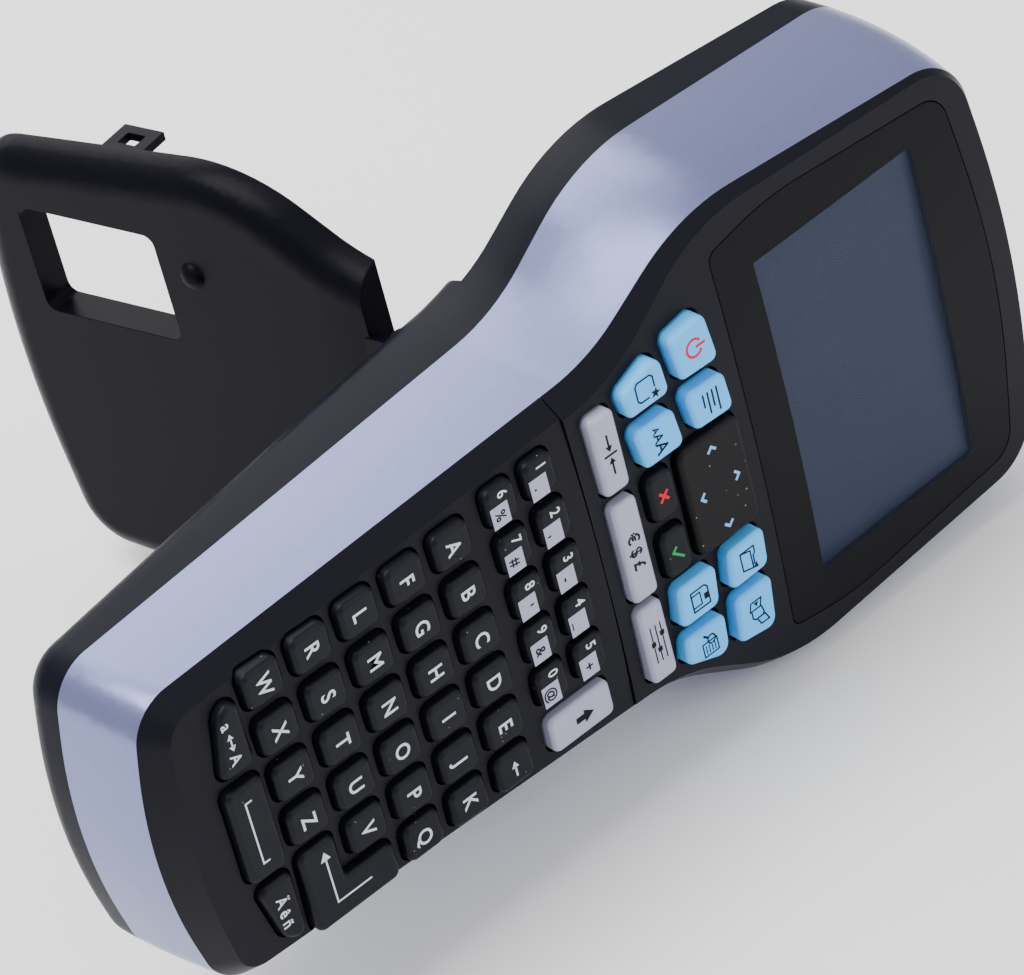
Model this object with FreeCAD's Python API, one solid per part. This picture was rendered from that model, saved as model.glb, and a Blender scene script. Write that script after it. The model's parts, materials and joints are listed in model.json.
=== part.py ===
import FreeCAD, Part
import math
import os
from FreeCAD import Matrix, Placement, Rotation, Vector

# Hand-held label maker, millimetres.
# Every piece is drawn in the device frame: +X to the user's right, +Y towards the display end,
# +Z out of the keyboard face, with the key tops of the middle column at Z = 0.
# At the end the whole model is laid on its right-hand long side: length along X, face towards -Y.

# ---- overall sizes ----------------------------------------------------------------------------
HANDLE_LENGTH = 100.0   # tail end to the seam between the two face panels
HEAD_LENGTH = 110.0     # seam between the panels to the display end
HEAD_WIDTH = 99.6
HANDLE_WIDTH = 71.0     # at the waist
TAIL_WIDTH = 61.6
TAIL_ROUND = 95.0            # rounding of the tail end, seen from the front
BODY_DEPTH = 52.4       # key tops to the closed cassette door

# ---- face and shells --------------------------------------------------------------------------
WALL = 2.2
SEAM_Y = -5.0           # where the upper and lower panels meet
PANEL_GAP = 0.25
PANEL_DROP = 1.9        # panel surface below the key tops
FACE_CROWN_RADIUS = 355.0
HEAD_CROWN_RADIUS = 600.0
HEAD_TILT_DEG = 1.5     # the display panel leans back by this much
RIM_Z = -7.5            # front edge of the side band
RIM_SLOPE = 0.76        # sideways run of the chamfered rim for each millimetre of height
PANEL_WALL = 2.2
BAND_SEAM_Z = -32.1     # band to rear shell seam under the panel seam
BAND_SEAM_SLOPE = 0.054
BAND_FLARE = 2.0        # how far the band swells at the head
TAIL_FLARE = 2.4        # and past the two ends
BACK_TUCK = 2.6         # how far the sides draw in towards the back
BACK_WAIST_SHIFT = 14.0 # the waist lies further up at the back than at the face
BACK_FLAT_START_Y = 8.0 # the handle's back slopes away towards the tail from here
BACK_SLOPE = 0.137
BACK_BLEND_RADIUS = 220.0
BACK_EDGE_RADIUS = 7.0

# ---- cassette door ----------------------------------------------------------------------------
DOOR_RIM_DEPTH = 7.0
DOOR_SKIN = 2.2
DOOR_GAP = 0.35
HINGE_Y = 0.6
HINGE_DROP = 1.0        # hinge axis behind the door's outer face
BARREL_RADIUS = 2.5
HINGE_PIN_RADIUS = 1.1
PIN_CLEARANCE = 0.05
DOOR_OPEN_DEG = 102.5
DOOR_NECK_HALF = 24.0
EAR_PLACES = (-12.0, 12.0)
EAR_WIDTH = 6.0
OUTER_EAR = 3.6
SWING_RELIEF = 6.6      # the door is cut back this far from the axis beside an ear
DOOR_SHOULDER_Y = 10.5
WINDOW_WIDTH = 24.0
WINDOW_LENGTH = 33.5
WINDOW_CENTRE = (-24.3, 75.4)
KNOB_CENTRE = (-29.2, 50.8)
KNOB_RADIUS = 2.4
TAB_INSET = 2.4         # from the head's nominal side to the tab
TAB_WIDTH = 9.6
TAB_REACH = 10.2        # how far the tab stands past the door's rim
TAB_THICKNESS = 1.8
TAB_Y = 65.4
TAB_SWEEP = 3.2         # room for the tab's arc as the door shuts

# ---- keys -------------------------------------------------------------------------------------
KEY_HEIGHT = 4.6
KEY_GAP = 0.6
KEY_EDGE = 0.7
LETTER_COLUMNS = 6
LETTER_ROWS = 5
KEY_FIELD_MARGIN = 2.6        # face edge to the outer keys
COLUMN_SPACE = 2.2
ROW_SPACE = 2.5
DIGIT_COLUMNS = 5
DIGIT_ROW_PITCH = 9.2
DIGIT_HEIGHT = 6.9
BLUE_RAISE = 0.9

# ---- display ----------------------------------------------------------------------------------
DISPLAY_WIDTH = 69.4
DISPLAY_HEIGHT = 41.0
DISPLAY_CENTRE_Y = 64.4
LENS_THICKNESS = 1.2
LENS_GAP = 0.15
LENS_BOTTOM_Y = 34.6
LENS_TOP_Y = 98.2

# ---- battery bay, drawn along the sloping back ---------------------------------------------------
COVER_TOP = -22.0       # cover's upper edge, from the start of the slope
COVER_HALF = 22.6
COVER_THICKNESS = 2.0
BATTERY_DEPTH = 19.0
BATTERY_HALF = 20.2
BATTERY_TAIL_MARGIN = 14.0

# ---- inner pieces -----------------------------------------------------------------------------
BOARD_Z = -10.8
BOARD_THICKNESS = 1.6
MAT_Z = -8.6
MAT_THICKNESS = 1.0
BAY_FLOOR_Z = -18.6
BAY_WALL = 1.6
CASSETTE_SIZE = (60.0, 50.0, 19.0)
CASSETTE_CENTRE = (-6.0, 52.0)
CASSETTE_CLEARANCE = 0.5
GEAR_MODULE = 0.8
GEAR_THICKNESS = 2.4
GEAR_Z = -17.6
PINION_TEETH = 12
IDLER_TEETH = 24
PLATEN_TEETH = 20
GEAR_BORE_RADIUS = 1.0
SHAFT_CLEARANCE = 0.05
ROLLER_RADIUS = 4.0
MOTOR_RADIUS = 7.5
MOTOR_LENGTH = 20.0
SCREW_HEAD_RADIUS = 2.6
SCREW_RADIUS = 1.2
SCREW_SINK = 3.0
SCREW_LENGTH = 9.0
LABEL_SLOT_Z = -36.5
BULKHEAD_RISE = 3.0

# ---- sizes worked out from the ones above -------------------------------------------------------
TAIL_Y = SEAM_Y - HANDLE_LENGTH
HEAD_Y = SEAM_Y + HEAD_LENGTH
BACK_Z = -BODY_DEPTH
DOOR_RIM_Z = BACK_Z + DOOR_RIM_DEPTH
HINGE_Z = BACK_Z - HINGE_DROP
PANEL_Z = -PANEL_DROP
BIG = 400.0


# ---- small helpers ------------------------------------------------------------------------------
def box(x0, x1, y0, y1, z0, z1):
    """Box between two corners."""
    return Part.makeBox(x1 - x0, y1 - y0, z1 - z0, Vector(x0, y0, z0))


def rod(radius, start, axis, length):
    """Round rod from a point along an axis."""
    return Part.makeCylinder(radius, length, Vector(*start), Vector(*axis))


def rounded_wire(corners, z=0.0):
    """Closed outline of straight runs joined by tangent arcs; corners are (x, y, radius)."""
    count = len(corners)
    arcs = []
    for i, (x, y, radius) in enumerate(corners):
        point = Vector(x, y, z)
        back = (Vector(corners[i - 1][0], corners[i - 1][1], z) - point).normalize()
        ahead = (Vector(corners[(i + 1) % count][0], corners[(i + 1) % count][1], z) - point).normalize()
        half = math.acos(max(-1.0, min(1.0, back.dot(ahead)))) / 2
        run = radius / math.tan(half)
        bisector = (back + ahead).normalize()
        middle = point + bisector * (radius / math.sin(half) - radius)
        arcs.append((point + back * run, middle, point + ahead * run))
    edges = []
    for i, (first, middle, last) in enumerate(arcs):
        edges.append(Part.Arc(first, middle, last).toShape())
        edges.append(Part.LineSegment(last, arcs[(i + 1) % count][0]).toShape())
    return Part.Wire(edges)


def prism(wire, z0, z1):
    """Solid between two heights over an outline drawn at z = 0."""
    face = Part.Face(wire)
    face.translate(Vector(0, 0, z0))
    return face.extrude(Vector(0, 0, z1 - z0))


def rounded_box(x0, x1, y0, y1, z0, z1, radius):
    """Box with its four upright edges rounded."""
    corners = [(x0, y0, radius), (x1, y0, radius), (x1, y1, radius), (x0, y1, radius)]
    return prism(rounded_wire(corners), z0, z1)


def plan_corners(side=0.0, head=0.0, ends=0.0, waist_shift=0.0):
    """Corners of the body's plan: sides, head and ends moved out, the waist moved up."""
    waist = HANDLE_WIDTH / 2
    head_half = HEAD_WIDTH / 2
    tail_round = TAIL_ROUND * (1 + side / (TAIL_WIDTH / 2))
    half = [
        (0.0, TAIL_Y - 1.6 - ends, tail_round),
        (TAIL_WIDTH / 2 + 0.3 + side, TAIL_Y + 5.2 - ends, 9.5),
        (waist + 0.5 + side, SEAM_Y + 11.5 + waist_shift, 36.0),
        (head_half + 1.2 + side + head, SEAM_Y + 38.0 + waist_shift, 40.0),
        (head_half - 4.2 + side + head, HEAD_Y - 4.4 + ends, 13.0),
        (0.0, HEAD_Y + 2.0 + ends, 200.0),
    ]
    mirrored = [(-x, y, radius) for x, y, radius in half[-2:0:-1]]
    return half + mirrored


def plan_wire(side=0.0, head=0.0, ends=0.0, waist_shift=0.0):
    """The body's plan as a closed wire at z = 0."""
    return rounded_wire(plan_corners(side, head, ends, waist_shift))


def plan_inset(inset, z=0.0):
    """The body's plan drawn in evenly by an inset."""
    wire = plan_wire().makeOffset2D(-inset) if inset else plan_wire()
    wire.translate(Vector(0, 0, z))
    return wire


def plan_prism(inset, z0, z1):
    """Upright solid over the plan, drawn in by an inset."""
    return prism(plan_inset(inset), z0, z1)


def back_wire(inset=0.0):
    """The body's plan at the back, where the waist lies further up."""
    head = BAND_FLARE * 0.6 + BACK_TUCK
    return plan_wire(-BACK_TUCK - inset, head, TAIL_FLARE * 0.4 - inset, BACK_WAIST_SHIFT)


def body_solid():
    """Swollen body from the rim to the closed door, before the back is shaped."""
    sections = [
        (RIM_Z, plan_wire()),
        (RIM_Z - 12.5, plan_wire(0.6, BAND_FLARE * 0.75, TAIL_FLARE * 0.65)),
        (BAND_SEAM_Z - 2.0, plan_wire(0.5, BAND_FLARE, TAIL_FLARE)),
        (BACK_Z - 4.0, back_wire()),
    ]
    for z, wire in sections:
        wire.translate(Vector(0, 0, z))
    return Part.makeLoft([wire for z, wire in sections], True, False)


def hollow_prism(inset, z0, z1):
    """Space that stays an inset inside the body at every height."""
    return plan_prism(inset, z0, z1).common(prism(back_wire(inset), z0, z1))


def back_height(y):
    """Height of the back surface at a station, without the blend."""
    return BACK_Z + max(0.0, BACK_FLAT_START_Y - y) * BACK_SLOPE


def back_profile():
    """Prism that keeps everything in front of the body's back surface."""
    far = 40.0
    corner = Vector(0, BACK_FLAT_START_Y, BACK_Z)
    tail = Vector(0, TAIL_Y - far, back_height(TAIL_Y - far))
    head = Vector(0, HEAD_Y + far, BACK_Z)
    to_tail = (tail - corner).normalize()
    to_head = (head - corner).normalize()
    half = math.acos(to_tail.dot(to_head)) / 2
    run = BACK_BLEND_RADIUS / math.tan(half)
    bisector = (to_tail + to_head).normalize()
    middle = corner + bisector * (BACK_BLEND_RADIUS / math.sin(half) - BACK_BLEND_RADIUS)
    top_head = Vector(0, HEAD_Y + far, far)
    top_tail = Vector(0, TAIL_Y - far, far)
    edges = [
        Part.LineSegment(tail, corner + to_tail * run).toShape(),
        Part.Arc(corner + to_tail * run, middle, corner + to_head * run).toShape(),
        Part.LineSegment(corner + to_head * run, head).toShape(),
        Part.LineSegment(head, top_head).toShape(),
        Part.LineSegment(top_head, top_tail).toShape(),
        Part.LineSegment(top_tail, tail).toShape(),
    ]
    face = Part.Face(Part.Wire(edges))
    face.translate(Vector(-HEAD_WIDTH, 0, 0))
    return face.extrude(Vector(2 * HEAD_WIDTH, 0, 0))


def rounded_back(body):
    """The body with its rear edge rounded all the way round."""
    solid = body.common(back_profile()).Solids[0]
    edges = []
    for edge in solid.Edges:
        middle = (edge.FirstParameter + edge.LastParameter) / 2
        point = edge.valueAt(middle)
        on_back = abs(point.z - back_height(point.y)) < 1.2
        crossing = abs(edge.tangentAt(middle).x) > 0.97 and TAIL_Y + 12 < point.y < HEAD_Y - 12
        if on_back and not crossing:
            edges.append(edge)
    return solid.makeFillet(BACK_EDGE_RADIUS, edges)


def below_seam():
    """Half-space behind the seam between the band and the rear shell."""
    block = box(-BIG, BIG, -BIG, BIG, -BIG, 0)
    angle = -math.degrees(math.atan(BAND_SEAM_SLOPE))
    block.rotate(Vector(0, 0, 0), Vector(1, 0, 0), angle)
    block.translate(Vector(0, 0, BAND_SEAM_Z))
    return block


def crowned(drop, upper):
    """Solid under the crowned face surface, lowered by a drop; the upper panel leans back."""
    radius = HEAD_CROWN_RADIUS if upper else FACE_CROWN_RADIUS
    roll = Part.makeCylinder(radius, BIG, Vector(0, -BIG / 2, PANEL_Z - drop - radius), Vector(0, 1, 0))
    if upper:
        roll.rotate(Vector(0, SEAM_Y, PANEL_Z), Vector(1, 0, 0), -HEAD_TILT_DEG)
    return roll


def surface_z(x, y):
    """Height of the face surface at a point."""
    if y > SEAM_Y:
        lean = (y - SEAM_Y) * math.tan(math.radians(HEAD_TILT_DEG))
        return PANEL_Z - lean - x * x / (2 * HEAD_CROWN_RADIUS)
    return PANEL_Z - x * x / (2 * FACE_CROWN_RADIUS)


# ---- key outlines -------------------------------------------------------------------------------
def column_pitch():
    """Distance between letter columns."""
    return (TAIL_WIDTH + COLUMN_SPACE - 2 * KEY_FIELD_MARGIN + 1.0) / LETTER_COLUMNS


def letter_top_y():
    """Centre line of the first letter row."""
    return SEAM_Y - 29.5


def row_pitch():
    """Distance between letter rows: the keyboard reaches to the space-key row at the tail."""
    return (letter_top_y() - (TAIL_Y + 27.0)) / (LETTER_ROWS - 1)


def rectangle(cx, cy, width, height, radius=1.8):
    """Corners of a rounded rectangle."""
    x0 = cx - width / 2
    x1 = cx + width / 2
    y0 = cy - height / 2
    y1 = cy + height / 2
    return [(x0, y0, radius), (x1, y0, radius), (x1, y1, radius), (x0, y1, radius)]


def mirror_corners(corners):
    """The same outline on the other side of the centre line, still counter-clockwise."""
    return [(-x, y, radius) for x, y, radius in reversed(corners)]


def letter_outlines():
    """Twenty-six letter keys, left to right and top to bottom, missing the two L-shaped cells."""
    outlines = []
    counts = (5, 6, 6, 5, 4)
    for row, count in enumerate(counts):
        y = letter_top_y() - row * row_pitch()
        for column in range(count):
            x = (column - (LETTER_COLUMNS - 1) / 2) * column_pitch()
            outlines.append(rectangle(x, y, column_pitch() - COLUMN_SPACE, row_pitch() - ROW_SPACE))
    return outlines


def digit_outlines():
    """Ten number keys: 1 to 5 above 6 to 0."""
    outlines = []
    top = SEAM_Y - 8.3
    for row in range(2):
        for column in range(DIGIT_COLUMNS):
            x = (column - (LETTER_COLUMNS - 1) / 2 - 0.13) * column_pitch()
            y = top - row * DIGIT_ROW_PITCH
            outlines.append(rectangle(x, y, column_pitch() - COLUMN_SPACE, DIGIT_HEIGHT))
    return outlines


def return_outline():
    """L-shaped key over two columns and two rows."""
    pitch = column_pitch()
    low = letter_top_y() - 4 * row_pitch() - (row_pitch() - ROW_SPACE) / 2
    mid = low + row_pitch() - ROW_SPACE
    high = low + 2 * row_pitch() - ROW_SPACE
    left = 1.5 * pitch - (pitch - COLUMN_SPACE) / 2
    notch = 2.5 * pitch - (pitch - COLUMN_SPACE) / 2
    right = 2.5 * pitch + (pitch - COLUMN_SPACE) / 2
    return [
        (left, low, 1.8), (right, low, 1.8), (right, high, 1.8),
        (notch, high, 1.8), (notch, mid, 1.0), (left, mid, 1.8),
    ]


def blue_outlines():
    """Four blue keys on the left of the pad; the four on the right mirror them."""
    y = SEAM_Y
    power = [(-34.2, y + 24.4, 1.6), (-24.7, y + 25.4, 1.4), (-24.4, y + 34.6, 1.6), (-35.5, y + 33.4, 2.4)]
    layout = [(-22.1, y + 24.8, 1.6), (-13.8, y + 25.8, 1.4), (-13.4, y + 35.0, 1.6), (-21.8, y + 34.4, 2.0)]
    frame = [(-30.4, y + 11.6, 2.0), (-24.8, y + 12.4, 1.4), (-24.9, y + 22.3, 1.6), (-34.0, y + 21.6, 2.4)]
    size = [(-22.1, y + 12.0, 1.6), (-13.6, y + 13.0, 1.4), (-13.6, y + 22.5, 1.6), (-22.1, y + 21.6, 2.0)]
    return {"power_key": power, "layout_key": layout, "border_key": frame, "text_size_key": size}


def key_outlines():
    """Name, outline and rise above the panel of every key except the letters."""
    y = SEAM_Y
    keys = {}
    for name, corners in blue_outlines().items():
        keys[name] = corners
    partners = {"print_key": "power_key", "memory_key": "layout_key", "preview_key": "border_key",
                "save_key": "text_size_key"}
    for name, partner in partners.items():
        keys[name] = mirror_corners(keys[partner])
    keys["cursor_pad"] = rectangle(0.0, y + 28.0, 23.4, 15.2, 2.4)
    keys["cancel_key"] = rectangle(-6.3, y + 15.4, 10.0, 6.2, 2.0)
    keys["accept_key"] = rectangle(6.3, y + 15.4, 10.0, 6.2, 2.0)
    keys["insert_key"] = rectangle(-21.3, y + 6.6, 16.8, 6.0, 1.4)
    keys["currency_key"] = rectangle(0.0, y + 6.6, 21.8, 6.0, 1.4)
    keys["settings_key"] = rectangle(21.1, y + 6.6, 16.8, 6.0, 1.4)
    pitch = column_pitch()
    wide = pitch - COLUMN_SPACE
    keys["shift_key"] = rectangle(2.5 * pitch, y - 13.0, wide, 14.8, 1.6)
    keys["backspace_key"] = rectangle(2.5 * pitch, letter_top_y(), wide, row_pitch() - ROW_SPACE)
    keys["return_key"] = return_outline()
    low = letter_top_y() - 4 * row_pitch() - row_pitch() * 0.5 - 0.6
    keys["space_key"] = rectangle(0.0, low - 4.1, 20.0, 8.2, 1.6)
    caps = [(-24.6, low - 4.6, 3.0), (-12.0, low - 7.6, 1.8), (-12.0, low, 1.8), (-27.4, low, 2.0)]
    keys["caps_key"] = caps
    keys["accent_key"] = mirror_corners(caps)
    for index, corners in enumerate(digit_outlines()):
        keys["digit_key_%d" % ((index + 1) % 10)] = corners
    return keys


def grown(corners, amount, z=0.0):
    """Outline of a key drawn out by an amount, as a wire."""
    wire = rounded_wire(corners, z)
    return wire.makeOffset2D(amount) if amount else wire


def outline_centre(corners):
    """Middle of an outline."""
    xs = [corner[0] for corner in corners]
    ys = [corner[1] for corner in corners]
    return (min(xs) + max(xs)) / 2, (min(ys) + max(ys)) / 2


BLUE_KEYS = ("power_key", "layout_key", "border_key", "text_size_key",
             "print_key", "preview_key", "memory_key", "save_key")


def key_top(name, corners):
    """Height of a key's crown."""
    x, y = outline_centre(corners)
    rise = PANEL_DROP + (BLUE_RAISE if name in BLUE_KEYS else 0.0)
    return surface_z(x, y) + rise


def make_key(name, corners):
    """Key cap with a chamfered crown."""
    top = key_top(name, corners)
    skirt = prism(rounded_wire(corners), top - KEY_HEIGHT, top - KEY_EDGE)
    crown = Part.makeLoft([grown(corners, 0.0, top - KEY_EDGE), grown(corners, -KEY_EDGE, top)], True, True)
    return skirt.fuse(crown).removeSplitter()


def key_well(corners):
    """Cutter for a key's opening."""
    x, y = outline_centre(corners)
    top = surface_z(x, y)
    return prism(grown(corners, KEY_GAP), top - 6.0, top + 4.0)


def all_wells(upper):
    """Cutters for the keys of one panel."""
    wells = []
    for corners in list(key_outlines().values()) + letter_outlines():
        y = outline_centre(corners)[1]
        if (y > SEAM_Y) == upper:
            wells.append(key_well(corners))
    return wells


# ---- casings ------------------------------------------------------------------------------------
def face_blank():
    """Raised face with a chamfered rim, before it is split and hollowed."""
    rise = 6.5
    low = plan_inset(0.0, RIM_Z)
    high = plan_inset(rise * RIM_SLOPE, RIM_Z + rise)
    return Part.makeLoft([low, high], True, False)


def panel(upper):
    """One face panel with its key openings."""
    y0 = SEAM_Y + PANEL_GAP / 2 if upper else -BIG
    y1 = BIG if upper else SEAM_Y - PANEL_GAP / 2
    blank = face_blank().common(crowned(0.0, upper)).common(box(-BIG, BIG, y0, y1, -BIG, BIG))
    hollow = plan_prism(PANEL_WALL + 1.2, RIM_Z - 5, 5).common(crowned(PANEL_WALL, upper))
    keep = box(-BIG, BIG, y0 + PANEL_WALL if upper else -BIG, BIG if upper else y1 - PANEL_WALL, -BIG, BIG)
    shell = blank.cut(hollow.common(keep))
    shell = shell.cut(all_wells(upper))
    if upper:
        shell = shell.cut(lens_solid(LENS_GAP, 3.0))
        shell = shell.cut(box(-DISPLAY_WIDTH / 2 - 1.5, DISPLAY_WIDTH / 2 + 1.5,
                              DISPLAY_CENTRE_Y - DISPLAY_HEIGHT / 2 - 1.5,
                              DISPLAY_CENTRE_Y + DISPLAY_HEIGHT / 2 + 1.5, -20, 5))
    return largest(shell)


def largest(shape):
    """The biggest solid of a shape."""
    return max(shape.Solids, key=lambda solid: solid.Volume)


def lens_corners(grow):
    """Outline of the display lens."""
    half = HEAD_WIDTH / 2
    low = half - 8.0 + grow
    mid = half - 5.2 + grow
    high = half - 9.4 + grow
    y0 = LENS_BOTTOM_Y - grow
    y1 = LENS_TOP_Y - 3.6 + grow
    right = [(low, y0, 2.4), (mid, y0 + 16.0, 60.0), (high, y1, 6.0)]
    top = [(0.0, LENS_TOP_Y + 0.8 + grow, 200.0)]
    left = [(-x, y, radius) for x, y, radius in reversed(right)]
    return right + top + left


def lens_solid(grow, extra):
    """Lens plate under the crowned surface, or its pocket."""
    plate = prism(rounded_wire(lens_corners(grow)), -30, 5)
    top = crowned(-extra if extra else 0.0, True)
    under = crowned(LENS_THICKNESS + (LENS_GAP if extra else 0.0), True)
    return plate.common(top).cut(under)


def display_lens():
    """Clear cover over the display."""
    return largest(lens_solid(0.0, 0.0))


def lcd_module():
    """Display glass in its frame."""
    z = surface_z(0, DISPLAY_CENTRE_Y) - PANEL_WALL - 0.6
    x = DISPLAY_WIDTH / 2
    y0 = DISPLAY_CENTRE_Y - DISPLAY_HEIGHT / 2
    y1 = DISPLAY_CENTRE_Y + DISPLAY_HEIGHT / 2
    return box(-x - 1.0, x + 1.0, y0 - 1.0, y1 + 1.0, BOARD_Z + 0.2, z)


def side_band(body):
    """Bright band round the four sides."""
    ring = body.cut(below_seam())
    ring = ring.cut(plan_prism(WALL + 0.4, -80, 10))
    band = largest(ring)
    cutters = [label_slot(), cutter_button_block(0.4), usb_shell(0.3), jack_shell(0.3), latch_pocket()]
    return largest(band.cut(cutters))


def door_region():
    """The part of the body that belongs to the door."""
    return box(-BIG, BIG, DOOR_SHOULDER_Y, BIG, -BIG, DOOR_RIM_Z)


def knuckle(x, width, radius):
    """Piece of the hinge barrel centred at x."""
    return rod(radius, (x - width / 2, HINGE_Y, HINGE_Z), (1, 0, 0), width)


def hinge_ears():
    """Knuckles of the rear casing on their webs: two inner ears and two outer ones."""
    places = [(x, EAR_WIDTH) for x in EAR_PLACES]
    outer = DOOR_NECK_HALF + DOOR_GAP + OUTER_EAR / 2
    places += [(-outer, OUTER_EAR), (outer, OUTER_EAR)]
    ears = []
    for x, width in places:
        web = box(x - width / 2, x + width / 2, HINGE_Y - BARREL_RADIUS, HINGE_Y + BARREL_RADIUS,
                  HINGE_Z, DOOR_RIM_Z)
        ears.append(knuckle(x, width, BARREL_RADIUS).fuse(web))
    return ears


def battery_frame(shape):
    """Places a shape drawn on the sloping back: x across, y along the slope, z = 0 on the back."""
    placed = shape.copy()
    placed.rotate(Vector(0, 0, 0), Vector(1, 0, 0), -math.degrees(math.atan(BACK_SLOPE)))
    placed.translate(Vector(0, BACK_FLAT_START_Y, BACK_Z))
    return placed


def bay_length():
    """Length of the battery bay along the slope."""
    return BACK_FLAT_START_Y + COVER_TOP - TAIL_Y - BATTERY_TAIL_MARGIN - 4.0


def battery_bay_box(shrink):
    """Battery space on the sloping back, drawn in by a clearance."""
    y1 = COVER_TOP - 4.0
    y0 = y1 - bay_length()
    return battery_frame(box(-BATTERY_HALF + shrink, BATTERY_HALF - shrink, y0 + shrink, y1 - shrink,
                             COVER_THICKNESS + shrink, BATTERY_DEPTH - shrink))


def cover_block(grow):
    """Cutter for the battery cover: a plate in the back that runs out at the tail."""
    return battery_frame(box(-COVER_HALF - grow, COVER_HALF + grow, -BIG, COVER_TOP + grow,
                             -20, COVER_THICKNESS + grow))


def rear_shell(outer):
    """Rear casing with the cassette opening, hinge ears and battery bay."""
    shell = outer.common(below_seam())
    door = door_region()
    door.translate(Vector(0, -DOOR_GAP, DOOR_GAP))
    shell = shell.cut(door)
    hollow = hollow_prism(WALL + 1.0, BACK_Z - 5, 10).common(inner_back())
    bulkhead = box(-BIG, BIG, HINGE_Y - 9.0, DOOR_SHOULDER_Y, BACK_Z - 5, DOOR_RIM_Z + BULKHEAD_RISE)
    shell = shell.cut(hollow.cut(bulkhead))
    neck = DOOR_NECK_HALF + DOOR_GAP
    shell = shell.cut(box(-neck, neck, HINGE_Y - BARREL_RADIUS - 0.5, DOOR_SHOULDER_Y + 1,
                          BACK_Z - 5, BACK_Z + DOOR_SKIN + 0.6))
    bosses = [screw_boss(x, y).common(outer) for x, y in screw_places()]
    shell = shell.fuse(bay_tray()).fuse(hinge_ears() + bosses)
    shell = shell.cut(knuckle(0.0, 2 * (DOOR_NECK_HALF + OUTER_EAR) - 0.4, HINGE_PIN_RADIUS))
    cutters = [cover_block(0.3), battery_bay_box(-0.3), label_slot(), cutter_button_block(0.4)]
    cutters.append(latch_pocket())
    cutters += [screw_hole(x, y) for x, y in screw_places()]
    return largest(shell.cut(cutters))


def label_slot():
    """Slot in the display end where the label leaves."""
    return box(label_x() - 1.6, label_x() + 1.6, HEAD_Y - 12, HEAD_Y + 12, LABEL_SLOT_Z, BAY_FLOOR_Z - 0.4)


def inner_back():
    """Space in front of the back wall."""
    profile = back_profile()
    profile.translate(Vector(0, 0, WALL))
    return profile


def bay_tray():
    """Walls and floor of the battery bay inside the handle."""
    block = battery_bay_box(-1.9)
    clip = plan_prism(WALL + 0.4, BACK_Z, BOARD_Z - BOARD_THICKNESS - 0.6)
    return block.common(clip).common(back_profile())


def screw_places():
    """Screws in the rear casing, two above the battery cover and two beside it."""
    x = COVER_HALF + SCREW_HEAD_RADIUS + 1.0
    return [(-x, SEAM_Y - 3.4), (x, SEAM_Y - 3.4), (-x, TAIL_Y + 60.0), (x, TAIL_Y + 60.0)]


def screw_hole(x, y):
    """Counterbored screw hole, open to the back."""
    z = back_height(y)
    hole = rod(SCREW_RADIUS, (x, y, z), (0, 0, 1), SCREW_SINK + SCREW_LENGTH)
    return hole.fuse(rod(SCREW_HEAD_RADIUS + 0.3, (x, y, z - 8), (0, 0, 1), 8 + SCREW_SINK))


def screw_boss(x, y):
    """Post that takes a screw inside the rear casing."""
    z = back_height(y)
    return rod(SCREW_HEAD_RADIUS + 1.4, (x, y, z + 1.0), (0, 0, 1), SCREW_SINK + SCREW_LENGTH)


def case_screws():
    """Four screws seated in the rear casing."""
    screws = []
    for x, y in screw_places():
        z = back_height(y)
        seat = z + SCREW_SINK
        head = rod(SCREW_HEAD_RADIUS, (x, y, seat - 1.4), (0, 0, 1), 1.4)
        shank = rod(SCREW_RADIUS, (x, y, seat - 0.4), (0, 0, 1), SCREW_LENGTH)
        slot = box(x - 1.6, x + 1.6, y - 0.3, y + 0.3, z - 1, seat - 0.8)
        cross = box(x - 0.3, x + 0.3, y - 1.6, y + 1.6, z - 1, seat - 0.8)
        screws.append(head.fuse(shank).cut(slot).cut(cross))
    return Part.makeCompound(screws)


def battery_cover(outer):
    """Sliding cover that forms the back of the handle down to the tail."""
    plate = outer.common(cover_block(0.0))
    for step in range(5):
        y = COVER_TOP - 6.0 - 2.4 * step
        plate = plate.cut(battery_frame(box(-9.0, 9.0, y - 0.5, y + 0.5, -1.0, 0.7)))
    return largest(plate)


def battery_pack():
    """Rechargeable pack that fills the bay."""
    pack = battery_bay_box(0.3)
    return pack.makeFillet(1.5, pack.Edges)


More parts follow.
